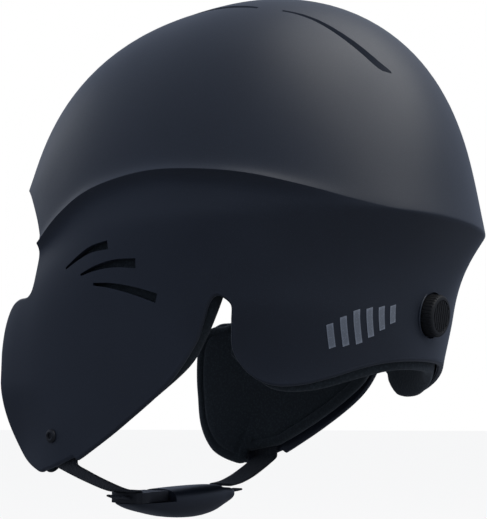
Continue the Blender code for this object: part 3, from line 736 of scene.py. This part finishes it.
def rivet_matrix():
    here, inside = on_side(*RIVET_AT, deep(0.0)), on_side(*RIVET_AT, deep(4.0))
    out = here - inside
    out.y = 0.0
    turn = Vector((0, 0, 1)).rotation_difference(out.normalized())
    return Matrix.Translation(here) @ turn.to_matrix().to_4x4()


DIAL = dial_matrix()
RIVET = rivet_matrix()


def make_shell():
    shell = wall("helmet_shell", outer_point, deep(SHELL), 180, shell_levels)
    mask = [(150, -68), *EDGE_LINE, (-170, 39), (-170, 160), (150, 160)]
    boolean(shell, prism("side_mask", mask, CUT_PAST), "INTERSECT")
    for spine, widths in GILLS:
        boolean(shell, prism("gill_cut", slot_outline(spine, widths), CUT_PAST))
    cut_crown_slots(shell)
    boolean(shell, turned("recess_cut", ((RECESS_R, -1.6), (RECESS_R, 12.0)), 96, DIAL))
    boolean(shell, turned("bore_cut", ((SPINDLE_BORE, -30.0), (SPINDLE_BORE, 12.0)), 48, DIAL))
    hole = turned("rivet_cut", ((RIVET_BORE, -20.0), (RIVET_BORE, 20.0)), 32, RIVET)
    twin = mirror_copy(hole, "rivet_cut_right")
    boolean(shell, hole)
    boolean(shell, twin)
    drop_crumbs(shell.data)
    dress(shell, SHELL_MAT, "helmet", "satin_shell", "outer_shell", angle=30)


def edge_height(y):
    """The lower edge's height where the outline is a plain function of y: the rear arch and the brow."""
    rear, brow = EDGE_LINE[:REAR_STRETCH * EDGE_STEPS + 1], EDGE_LINE[-BROW_STRETCH * EDGE_STEPS - 1:]
    ends = rear if y > 0 else brow
    for (y0, z0), (y1, z1) in zip(ends, ends[1:]):
        if y1 <= y <= y0:
            return z0 + (z1 - z0) * (y - y0) / (y1 - y0)
    return ends[0][1] if y > 0 else ends[-1][1]


def end_stretch(first, last, count, surface):
    """Points of the edge over the rear arch or the brow, by turn."""
    stretch = []
    for t in spread(first, last, count):
        th, z = math.radians(t), -70.0 if first < 90 else 37.0
        for _ in range(12):
            z = edge_height(surface(th, z).y)
        stretch.append(surface(th, z))
    return stretch


def edge_path(surface):
    """The shell's whole lower edge on a surface, as one closed loop."""
    rear = end_stretch(0.0, 24.0, 16, surface)
    brow = end_stretch(146.0, 180.0, 22, surface)
    middle = [(y, z) for y, z in EDGE_LINE if rear[-1].y - 1.0 > y > brow[0].y + 1.0 or -60 < z < 20]
    left = rear + [on_side(y, z, surface) for y, z in middle] + brow
    right = [Vector((-p.x, p.y, p.z)) for p in left[::-1]]
    return left + right[1:-1]


def middle_of_shell(th, z):
    return (outer_point(th, z) + deep(SHELL)(th, z)) / 2


def make_rim():
    """The shell's rolled edge, a bead round the whole opening."""
    rim = bead("shell_rim", edge_path(middle_of_shell), RIM_R + 0.05)
    dress(rim, SHELL_MAT, "helmet", "satin_shell", angle=60)


# ---- Printed mark: a plain generic row of slanted bars ----
MARK_TURN = 23.5
MARK_HEIGHT = -53.5
MARK_RISE = 0.36
MARK_THICK = 0.22
MARK_HALF = 1.6
MARK_TALL = (5.2, 6.4, 7.4, 6.4, 5.2, 4.0)
MARK_FIRST = -17.0
MARK_PITCH = 6.5
MARK_LEAN = 0.35
MARK_RADIUS = 104.0


def mark_point(a, b, out):
    """a runs along the mark towards the rear, b up it, in millimetres on the outside."""
    th = math.radians(MARK_TURN) - (a * math.cos(MARK_RISE) - b * math.sin(MARK_RISE)) / MARK_RADIUS
    z = MARK_HEIGHT + a * math.sin(MARK_RISE) + b * math.cos(MARK_RISE)
    return outer_point(th, z) + normal_at(th, z) * out


def make_mark():
    for i, half_tall in enumerate(MARK_TALL):
        middle = MARK_FIRST + MARK_PITCH * i

        def surface(out, middle=middle, tall=half_tall):
            return lambda u, v: mark_point(middle + u * MARK_HALF + v * tall * MARK_LEAN, v * tall, out)

        bar = patch(f"mark_bar_{i + 1}", surface(MARK_THICK), surface(-0.4), spread(-1, 1, 5),
                    spread(-1, 1, 13))
        dress(bar, MARK_MAT, "helmet", "satin_shell")


# ---- Foam liner and linings ----
LINER_EDGE = ((118, -52), (92, -53), (62, -50), (46, -28), (20, -8), (-20, 2), (-66, 4), (-76, 12),
              (-86, 22), (-97, 31), (-108, 37), (-120, 40.5), (-155, 43))
LINER_LOW = -56.0


def liner_levels(_th):
    rise = CROWN - LINER_LOW
    return [LINER_LOW + rise * math.sin(math.radians(90 * i / 34)) for i in range(34)]


def make_liner():
    liner = wall("foam_liner", deep(LINER_IN), deep(LINER_IN + FOAM), 96, liner_levels)
    mask = [(150, -52), *rounded_line(LINER_EDGE, 4), (-170, 43), (-170, 160), (150, 160)]
    boolean(liner, prism("liner_mask", mask, CUT_PAST), "INTERSECT")
    cut_crown_slots(liner)
    space = block("gear_cut", (-27, -15, -26), (27, 15, 0))
    space.data.transform(world_turn(DIAL))
    boolean(liner, space)
    drop_crumbs(liner.data)
    dress(liner, FOAM_MAT, "helmet", "impact_foam", "impact_liner", angle=30)


PAD_SHRINK = 0.2
PAD_PRESSURE = 4.0
PAD_FRAMES = 20


def puff(obj, cap_mm):
    """Swells a pad with Cloth pressure and keeps each point within the cap of where it began.
    Points that face away from the head stay put, so the pad lies flat on what is behind it."""
    start = [v.co.copy() for v in obj.data.vertices]
    centre = Vector((0, -0.005, 0.0)) + ORIGIN * MM
    lean = []
    for v in obj.data.vertices:
        out = v.co - centre
        out.z *= 0.35
        lean.append(1.0 - ease(-0.1, 0.5, v.normal.dot(out.normalized())))
    cloth = obj.modifiers.new("cloth", "CLOTH")
    cloth.settings.use_pressure = True
    cloth.settings.uniform_pressure_force = PAD_PRESSURE
    cloth.settings.effector_weights.gravity = 0.0
    cloth.settings.quality = 5
    cloth.point_cache.frame_start, cloth.point_cache.frame_end = 1, PAD_FRAMES
    for number in range(1, PAD_FRAMES + 1):
        bpy.context.scene.frame_set(number)
    bake(obj)
    bpy.context.scene.frame_set(1)
    for v, was, weight in zip(obj.data.vertices, start, lean):
        move = v.co - was
        if move.length > cap_mm * MM:
            move *= cap_mm * MM / move.length
        v.co = was + move * weight


def soft_pad(name, node, body, voxel, cap):
    """A padded copy of a plain CAD pad: remeshed, rounded off, swollen and subdivided."""
    pad = link(bpy.data.objects.new(name, NODES[node].data.copy()))
    tidy_mesh(pad.data)
    remesh = pad.modifiers.new("remesh", "REMESH")
    remesh.mode = "VOXEL"
    remesh.voxel_size = voxel * MM
    round_off = pad.modifiers.new("round", "SMOOTH")
    round_off.factor = 0.6
    round_off.iterations = 6
    bake(pad)
    for v in pad.data.vertices:
        v.co -= v.normal * PAD_SHRINK * MM
    puff(pad, cap)
    finer = pad.modifiers.new("finer", "SUBSURF")
    finer.levels = finer.render_levels = 1
    bake(pad)
    drop_crumbs(pad.data)
    dress(pad, LINING_MAT, body, "lining_fabric", node, angle=60)


CHEEK_EDGE = ((43.5, -39, 1), (39.5, -49), (32, -62), (22.5, -75), (5.5, -87.5), (-18.5, -102),
              (-43, -114.5, 1), (-67.5, -119, 1), (-68.5, -125.5, 1), (-76, -126.8), (-92.5, -119),
              (-104.5, -102), (-109.5, -78), (-109, -53), (-104.5, -39.5), (-97, -33.8), (-86, -33),
              (-77, -26), (-73, -5, 1), (-20, -5, 1), (14, -12), (30, -25), (43.5, -39, 1))


def edge_distance(spot, outline):
    """The distance from a point to a closed outline."""
    best = 1e9
    for a, b in zip(outline, outline[1:] + outline[:1]):
        run = b - a
        share = min(max((spot - a).dot(run) / run.length_squared, 0.0), 1.0)
        best = min(best, (a + run * share - spot).length)
    return best


SEAM_IN = 6.0
SEAM_DEEP = 1.2
SEAM_HALF = 0.9
CUSHION_EDGE = 4.2
CUSHION_LOW = LINER_IN + 0.2
CUSHION_HIGH = LINER_IN + 7.6
POCKET_DEEP = 5.0
CHEEK_HEART = Vector((-45.0, -62.0))
EDGE_RINGS = (0.0, 0.15, 0.5, 1.0, 1.7, 2.5, 3.4, 4.2, 4.9, 5.5, 6.0, 6.5, 7.1, 8.0, 9.5, 12.0)
FACE_RINGS = (0.25, 0.5, 0.72, 0.9)


def swell(inside):
    """Depths of a cushion's front and back at this distance inside its edge, with a sewn seam."""
    middle, half = (CUSHION_LOW + CUSHION_HIGH) / 2, (CUSHION_HIGH - CUSHION_LOW) / 2
    share = min(inside / CUSHION_EDGE, 1.0)
    half *= math.sqrt(max(1 - (1 - share) ** 2, 0.0))
    front = middle + half
    if inside > CUSHION_EDGE:
        front += 1.2 * (1 - math.exp(-(inside - CUSHION_EDGE) / 10))
        front -= SEAM_DEEP * math.exp(-((inside - SEAM_IN) / SEAM_HALF) ** 2)
    return front, middle - half


def cheek_point(spot, outline, back):
    """A point of the cushion's front or back; the back leaves a pocket for the strap."""
    pocket = ease(-74, -68, spot.x) * (1 - ease(-43, -37, spot.x)) * (1 - ease(-98, -92, spot.y))
    front_depth, back_depth = swell(edge_distance(spot, outline))
    depth = min(back_depth + POCKET_DEEP * pocket, front_depth - 0.8) if back else front_depth
    return on_side(spot.x, spot.y, deep(depth))


def make_cheek_cushions():
    """One crowned, closed form over the cheek pad's outline: rings from the edge in to its heart."""
    outline = [Vector(p) for p in rounded_line(CHEEK_EDGE, 8)[:-1]]
    outline = [p for i, p in enumerate(outline) if (p - outline[i - 1]).length > 0.05]
    rings = []
    for step in EDGE_RINGS:
        rings.append([p.lerp(CHEEK_HEART, min(step / (CHEEK_HEART - p).length, 0.5)) for p in outline])
    rings += [[p.lerp(CHEEK_HEART, share) for p in rings[len(EDGE_RINGS) - 1]] for share in FACE_RINGS]
    front = [[cheek_point(p, outline, False) for p in ring] for ring in rings]
    back = [[cheek_point(p, outline, True) for p in ring] for ring in rings[1:]]
    count = len(outline)
    shells = back[::-1] + front
    points = [p for ring in shells for p in ring]
    faces = tube_faces(len(shells), count)[2:]
    for first, back_side in ((0, True), ((len(shells) - 1) * count, False)):
        depth = swell(40.0)[1 if back_side else 0]
        points.append(on_side(*CHEEK_HEART, deep(depth)))
        faces += [(first + i, first + (i + 1) % count, len(points) - 1) for i in range(count)]
    left = mesh_object("cheek_cushion_left", points, faces)
    dress_pair(left, "cheek_cushion", LINING_MAT, "lining_fabric", "cheek_pad", 60)


NAPE_EDGE = ((118, -70.5), (102, -74.5), (85, -82), (72, -85.7), (59, -85.1), (49, -79))
NAPE_TOP = -61.5


def nape_low(th):
    """The nape lining's lower edge by turn."""
    line = rounded_line(NAPE_EDGE, 6)
    z = -76.0
    for _ in range(10):
        y = deep(LINER_IN + 3)(th, z).y
        for (y0, z0), (y1, z1) in zip(line, line[1:]):
            if y1 <= y <= y0:
                z = z0 + (z1 - z0) * (y - y0) / (y1 - y0)
    return z


def make_nape_cushion():
    """A padded band that lines the rear lobes, rounded all round and closing at its ends."""
    turns = spread(-57.0, 57.0, 77)
    around = 28
    points = []
    for n, turn in enumerate(turns):
        th = math.radians(turn)
        low, high = nape_low(th), NAPE_TOP
        close = min(n, len(turns) - 1 - n) / 5
        fat = math.sqrt(max(1 - (1 - min(close, 1.0)) ** 2, 0.02))
        middle = (low + high) / 2
        for k in range(around):
            a = 2 * math.pi * k / around
            c, s = math.cos(a), math.sin(a)
            z = middle + (high - low) / 2 * fat * math.copysign(abs(c) ** 0.55, c)
            depth = LINER_IN + 3.1 + 2.9 * fat * math.copysign(abs(s) ** 0.6, s)
            points.append(deep(depth)(th, z))
    band = mesh_object("nape_cushion", points, tube_faces(len(turns), around))
    dress(band, LINING_MAT, "helmet", "lining_fabric", "nape_lining", angle=60)


def make_pads():
    make_cheek_cushions()
    make_nape_cushion()
    for hand in ("left", "right"):
        soft_pad(f"side_cushion_{hand}", f"side_pad_{hand}", "helmet", 3.0, 3.5)
    soft_pad("brow_cushion", "brow_pad", "helmet", 3.0, 3.5)
    soft_pad("crown_cushion", "crown_pad", "helmet", 3.5, 4.0)
    soft_pad("cradle_cushion", "cradle_pad", "cradle", 2.2, 2.0)


# ---- Dial ----
KNOB_RIBS = 7
RIB_PITCH = 2.2
RIB_HALF = 0.65
KNOB_FLUTES = 36


def make_knob():
    """The fit dial: a fluted rim, a rounded shoulder and a ribbed face."""
    def arc(r, h, radius, first, last, count):
        turns = [math.radians(a) for a in spread(first, last, count)]
        return [(r + radius * math.cos(a), h + radius * math.sin(a)) for a in turns]

    base, top, floor = -1.2, 6.2, 5.5
    face_r = KNOB_R - 2.6
    profile = [(0.4, base)] + arc(KNOB_R - 0.7, base + 0.7, 0.7, -90, 0, 4)
    profile += arc(KNOB_R - 1.6, 4.4, 1.6, 0, 90, 7)
    profile += [(face_r + 0.2, 6.0), (face_r, floor), (face_r - 0.2, floor), (0.4, floor)]
    knob = turned("dial_cap", profile, 120, DIAL)
    for i in range(KNOB_RIBS):
        x = RIB_PITCH * (i - (KNOB_RIBS - 1) / 2)
        reach = math.sqrt((face_r - 0.5) ** 2 - x * x)
        boolean(knob, rounded_bar((x, reach), RIB_HALF, floor - 0.4, top), "UNION")
    for i in range(KNOB_FLUTES):
        a = 2 * math.pi * i / KNOB_FLUTES
        spot = Matrix.Translation(((KNOB_R + 0.25) * math.cos(a), (KNOB_R + 0.25) * math.sin(a), 0))
        boolean(knob, turned("flute", ((0.45, 0.2), (0.5, 4.2), (1.0, 7.5)), 10, DIAL @ spot))
    drop_crumbs(knob.data)
    dress(knob, KNOB_MAT, "dial", "dial_plastic", "dial_knob", angle=28)


def rounded_bar(place, half, low, high):
    """A straight rib across the dial's face at local x, rounded on top."""
    x, reach = place
    outline = [(x - half, low)]
    for degrees in spread(180, 0, 7):
        a = math.radians(degrees)
        outline.append((x + half * math.cos(a), high - half + half * math.sin(a)))
    outline.append((x + half, low))
    bar = prism("rib", outline, reach, "y")
    bar.data.transform(world_turn(DIAL))
    return bar


def make_recess_ring():
    """A thin moulded collar round the dial's recess."""
    profile = [(RECESS_R + across, height) for across, height in
               ((-0.1, -1.5), (0.4, 0.5), (0.8, 0.6), (1.2, 0.3), (0.8, -1.5))]
    ring = turned("dial_collar", profile, 96, DIAL, closed=True)
    dress(ring, SHELL_MAT, "helmet", "satin_shell", angle=40)


# ---- Rivets ----
def make_rivets():
    head = [(0.4, 0.9), (1.3, 0.9), (1.5, 1.6), (2.2, 1.9), (2.9, 1.7), (3.4, 1.2), (3.6, 0.8),
            (3.5, 0.35), (2.0, 0.3), (2.0, -8.2), (0.4, -8.2)]
    left = turned("rivet_cap_left", head, 40, RIVET)
    dress_pair(left, "rivet_cap", DARK_MAT, "dark_plastic", "strap_rivet", 35.0)


# ---- Webbing ----
STRIP_COLUMNS = 13


def arc_lengths(path):
    lengths = [0.0]
    for p, q in zip(path, path[1:]):
        lengths.append(lengths[-1] + (q - p).length)
    return lengths


def strip(name, path, half, thick):
    """Webbing along 3-D points, wide along y, with rounded edges and a UV map in metres."""
    section = []
    for s in spread(-1, 1, STRIP_COLUMNS):
        section.append((s * half, thick / 2 * (1 - 0.55 * max(abs(s) - 0.86, 0) / 0.14)))
    points, uvs = [], []
    last = len(path) - 1
    lengths = arc_lengths(path)
    for i, p in enumerate(path):
        run = path[min(i + 1, last)] - path[max(i - 1, 0)]
        out = Vector((0, 1, 0)).cross(run).normalized()
        side = run.cross(out).normalized()
        if side.y < 0:
            side = -side
        for a, h in section:
            points.append(p + side * a + out * h)
            uvs.append((lengths[i] * MM, a * MM))
        for a, h in section[::-1]:
            points.append(p + side * a - out * h)
            uvs.append((lengths[i] * MM, a * MM))
    made = mesh_object(name, points, tube_faces(len(path), 2 * STRIP_COLUMNS))
    layer = made.data.uv_layers.new(name="weave")
    for loop in made.data.loops:
        layer.data[loop.index].uv = uvs[loop.vertex_index]
    return made


def fine_path(points, per_step=6):
    """A smooth run through (x, y, z) points."""
    flat = [Vector(p) for p in points]
    done = []
    last = len(flat) - 1
    for i in range(last):
        four = flat[max(i - 1, 0)], flat[i], flat[i + 1], flat[min(i + 2, last)]
        done += [between(*four, k / per_step) for k in range(per_step)]
    done.append(flat[last])
    return done


def strap_path(sign, run):
    """Down behind the cheek guard from above the rivet to the fold, then along the free run."""
    path = []
    for z in (-99.0, -104.0, -109.0, -114.0, -118.5):
        path.append((sign * on_side(STRAP_Y, z, deep(LINER_IN + 0.4 + WEB / 2)).x, STRAP_Y, z))
    return fine_path(path + [(x, STRAP_Y, z) for x, z in run])


LEFT_RUN = ((90.6, -121.6), (88.8, -123.2), (84, -125.2), (76, -128.5), (65, -132.6), (55, -136.0),
            (48, -137.75), (43.2, -138.05), (40.6, -138.4), (39.4, -139.6), (39.2, -141.5))
RIGHT_RUN = ((-90.6, -121.6), (-88.8, -123.3), (-84, -125.6), (-76, -129.2), (-65, -133.6), (-54, -136.8),
             (-47, -137.9), (-42.5, -138.3))


def make_webbing():
    left = strip("webbing_left", strap_path(1, LEFT_RUN), STRAP_HALF, WEB)
    dress(left, WEB_MAT, "helmet", "webbing", "anchor_web_left", "chin_web_left", angle=50)
    right = strip("webbing_right", strap_path(-1, RIGHT_RUN), STRAP_HALF, WEB)
    dress(right, WEB_MAT, None, "webbing", angle=50)
    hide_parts("anchor_web_right", "chin_web_right")
    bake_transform(right)


# ---- Buckle ----
# The boat's stations across the strap as (x, half-width, top, bottom).
BOAT = ((46, 6.0, -142.6, -145.4), (43, 9.0, -141.0, -146.8), (36, 11.5, -139.6, -149.2),
        (26, 13.0, -138.6, -151.6), (13, 14.0, -138.0, -154.2), (0, 14.3, -137.6, -155.4),
        (-13, 14.0, -137.4, -155.4), (-25, 13.0, -137.4, -153.8), (-34, 11.6, -137.8, -151.0),
        (-42, 10.4, -139.2, -148.0), (-46, 8.0, -140.6, -146.0))
BOAT_COLUMNS = 48


def boat_section(x, half, top, bottom):
    middle, tall = (top + bottom) / 2, (top - bottom) / 2
    ring = []
    for k in range(BOAT_COLUMNS):
        a = 2 * math.pi * k / BOAT_COLUMNS
        c, s = math.cos(a), math.sin(a)
        power = 0.62 if s > 0 else 0.85
        ring.append(Vector((x, STRAP_Y + half * math.copysign(abs(c) ** 0.72, c),
                            middle + tall * math.copysign(abs(s) ** power, s))))
    return ring


def loft(name, rings):
    points = [p for ring in rings for p in ring]
    return mesh_object(name, points, tube_faces(len(rings), len(rings[0])))


def strap_block(name, across, half, heights):
    """A block centred on the strap's line."""
    return block(name, (across[0], STRAP_Y - half, heights[0]), (across[1], STRAP_Y + half, heights[1]))


def soften(obj, width_mm, segments):
    bevel = obj.modifiers.new("soft_edges", "BEVEL")
    bevel.width = width_mm * MM
    bevel.segments = segments
    bevel.limit_method = "ANGLE"
    bevel.angle_limit = math.radians(35.0)
    bevel.harden_normals = False
    bake(obj)


def make_buckle_body():
    stations = fine_path([(x, half, top) for x, half, top, _ in BOAT], 4)
    lows = fine_path([(x, half, bottom) for x, half, _, bottom in BOAT], 4)
    rings = [boat_section(s.x, s.y, s.z, low.z) for s, low in zip(stations, lows)]
    boat = loft("buckle_boat", rings)
    boolean(boat, strap_block("tray", (16.0, 60.0), 20.0, (-145.0, -130.0)))
    boolean(boat, strap_block("web_slot", (-60.0, -33.0), 9.6, (-139.9, -130.0)))
    boolean(boat, strap_block("tab_slot", (-60.0, -25.0), 5.4, (-144.0, -141.0)))
    boolean(boat, strap_block("magnet_seat", (MAGNET_X - 5.3, MAGNET_X + 5.3), 5.3, (-147.3, -140.0)))
    drop_crumbs(boat.data)
    dress(boat, BUCKLE_MAT, "strap_right", "satin_shell", "buckle_body", angle=32)


def make_tongue():
    """The buckle's loose half: a rounded slide with a webbing slot, grip ribs and a magnet pocket."""
    near_side = ((18.0, -9.4), (33.0, -9.7), (36.5, -11.4), (42.5, -11.4), (45.2, -9.4), (46.0, -6.0))
    outline = [*near_side, *((x, -y) for x, y in near_side[::-1])]
    tongue = prism("buckle_slide", [(x, STRAP_Y + y) for x, y in outline], 2.9, "z", -141.8)
    boolean(tongue, strap_block("bar_slot", (38.0, 40.6), 9.2, (-150.0, -130.0)))
    soften(tongue, 0.9, 4)
    for i in range(4):
        x = 20.5 + 3.4 * i
        groove = ((x, -138.5), (x + 1.5, -138.5), (x + 0.75, -139.7))
        boolean(tongue, prism("grip", groove, 7.5, "y", STRAP_Y))
    seat = Matrix.Translation((MAGNET_X, STRAP_Y, 0))
    boolean(tongue, turned("pocket", ((5.0, -146.0), (5.0, -142.3)), 48, seat))
    drop_crumbs(tongue.data)
    dress(tongue, DARK_MAT, "helmet", "dark_plastic", "buckle_tongue", angle=30)


def make_release():
    slide = strap_block("release_key", (-46.6, -32.0), 5.0, (-143.6, -141.4))
    soften(slide, 0.5, 3)
    dress(slide, DARK_MAT, "release", "dark_plastic", "release_slide")
    tab_run = ((-47.8, -142.5), (-51, -142.4), (-55, -142.2), (-59.5, -141.8))
    tab = strip("pull_loop", fine_path([(x, STRAP_Y, z) for x, z in tab_run]), 4.0, 1.3)
    dress(tab, WEB_MAT, "pull_tab", "dark_plastic", "pull_tab", angle=50)
    tail_run = ((46.4, -141.9), (49.5, -141.4), (53, -140.4))
    tail = strip("webbing_tail", fine_path([(x, STRAP_Y, z) for x, z in tail_run]), 6.0, 1.3)
    dress(tail, WEB_MAT, "helmet", "webbing", "strap_tail", angle=50)


# ---- Carried-over CAD parts ----
def finish_nodes():
    looks = {"dark_plastic": INNER_MAT, "steel": STEEL_MAT, "dial_plastic": KNOB_MAT,
             "satin_shell": SHELL_MAT, "impact_foam": FOAM_MAT, "lining_fabric": LINING_MAT,
             "webbing": WEB_MAT}
    slots = {part["node"]: part["material_slot"] for part in frame["record"]["subparts"]}
    for node, obj in NODES.items():
        obj.data.materials.clear()
        obj.data.materials.append(looks[slots[node]])


# ---- Studio ----
def view_axes():
    turn, rise = math.radians(VIEW_TURN), math.radians(VIEW_RISE)
    toward = Vector((math.cos(turn) * math.cos(rise), math.sin(turn) * math.cos(rise), math.sin(rise)))
    right = Vector((-math.sin(turn), math.cos(turn), 0))
    return toward, right, toward.cross(right)


TOWARD, RIGHT, UP = view_axes()


def look_at(obj, spot, target):
    obj.location = spot
    obj.rotation_euler = (target - spot).to_track_quat("-Z", "Y").to_euler()


def make_camera():
    aim = ORIGIN + RIGHT * VIEW_AIM[0] + UP * VIEW_AIM[1]
    camera = link(bpy.data.objects.new("camera", bpy.data.cameras.new("camera")))
    camera.location = (aim + TOWARD * VIEW_DISTANCE) * MM
    camera.rotation_euler = Matrix((RIGHT, UP, TOWARD)).transposed().to_euler()
    camera.data.lens = LENS
    camera.data.sensor_fit = "VERTICAL"
    camera.data.sensor_height = SENSOR_HEIGHT
    camera.data.clip_start = CAMERA_NEAR
    bpy.context.scene.camera = camera


def softbox(name, right, up, toward, size, power, colour):
    lamp = bpy.data.lights.new(name, "AREA")
    lamp.shape = "DISK"
    lamp.size = size
    lamp.energy = power
    lamp.color = colour
    obj = link(bpy.data.objects.new(name, lamp))
    centre = ORIGIN * MM
    look_at(obj, centre + RIGHT * right + UP * up + TOWARD * toward, centre)


def camera_only(n, shown, else_shader):
    """Shows one flat shade to the camera and another shader to everything else."""
    path = n.nodes.new("ShaderNodeLightPath")
    mix = n.nodes.new("ShaderNodeMixShader")
    n.links.new(path.outputs["Is Camera Ray"], mix.inputs[0])
    n.links.new(else_shader, mix.inputs[1])
    n.links.new(shown, mix.inputs[2])
    return mix.outputs[0]


def make_studio():
    world = bpy.context.scene.world or bpy.data.worlds.new("studio")
    bpy.context.scene.world = world
    world.use_nodes = True
    tree = world.node_tree
    tree.nodes.clear()
    dim, bright = tree.nodes.new("ShaderNodeBackground"), tree.nodes.new("ShaderNodeBackground")
    dim.inputs["Color"].default_value = WORLD_COLOUR
    dim.inputs["Strength"].default_value = WORLD_STRENGTH
    bright.inputs["Color"].default_value = (1, 1, 1, 1)
    bright.inputs["Strength"].default_value = 1.0
    out = tree.nodes.new("ShaderNodeOutputWorld")
    tree.links.new(camera_only(tree, bright.outputs[0], dim.outputs[0]), out.inputs["Surface"])

    n = Nodes("floor")
    n.colour(n.mix(n.span(n.noise(3.0), 0.3, 0.7, 0.0, 1.0), (0.80, 0.80, 0.80), (0.83, 0.83, 0.83)))
    n.rough(0.95)
    glow = n.add("ShaderNodeEmission")
    glow.inputs["Color"].default_value = (1, 1, 1, 1)
    glow.inputs["Strength"].default_value = FLOOR_GLOW
    surface = n.tree.nodes["Material Output"].inputs["Surface"]
    half = n.add("ShaderNodeMixShader")
    half.inputs[0].default_value = GLOW_SHARE
    n.wire(n.shader.outputs[0], half.inputs[1])
    n.wire(glow.outputs[0], half.inputs[2])
    dull = n.add("ShaderNodeBsdfDiffuse")
    dull.inputs["Color"].default_value = (0.22, 0.23, 0.25, 1)
    n.wire(camera_only(n.tree, half.outputs[0], dull.outputs[0]), surface)
    low = CAD_BOX[0][2] - FLOOR_DROP * MM
    corners = [(x * FLOOR_HALF, y * FLOOR_HALF, low) for x, y in ((-1, -1), (1, -1), (1, 1), (-1, 1))]
    mesh = bpy.data.meshes.new("studio_floor")
    mesh.from_pydata(corners, [], [(0, 1, 2, 3)])
    floor = link(bpy.data.objects.new("studio_floor", mesh))
    floor.data.materials.append(n.mat)
    softbox("key_light", 0.80, 1.40, 0.15, 2.0, 26.0, (1.0, 0.99, 0.97))
    softbox("left_light", -1.3, 0.55, -1.1, 0.8, 1.1, (0.97, 0.99, 1.0))
    bpy.context.scene.view_settings.view_transform = "Standard"


# ---- Build ----
finish_nodes()
make_shell()
make_rim()
make_mark()
make_liner()
make_pads()
make_knob()
make_recess_ring()
make_rivets()
make_webbing()
make_buckle_body()
make_tongue()
make_release()
make_studio()
make_camera()
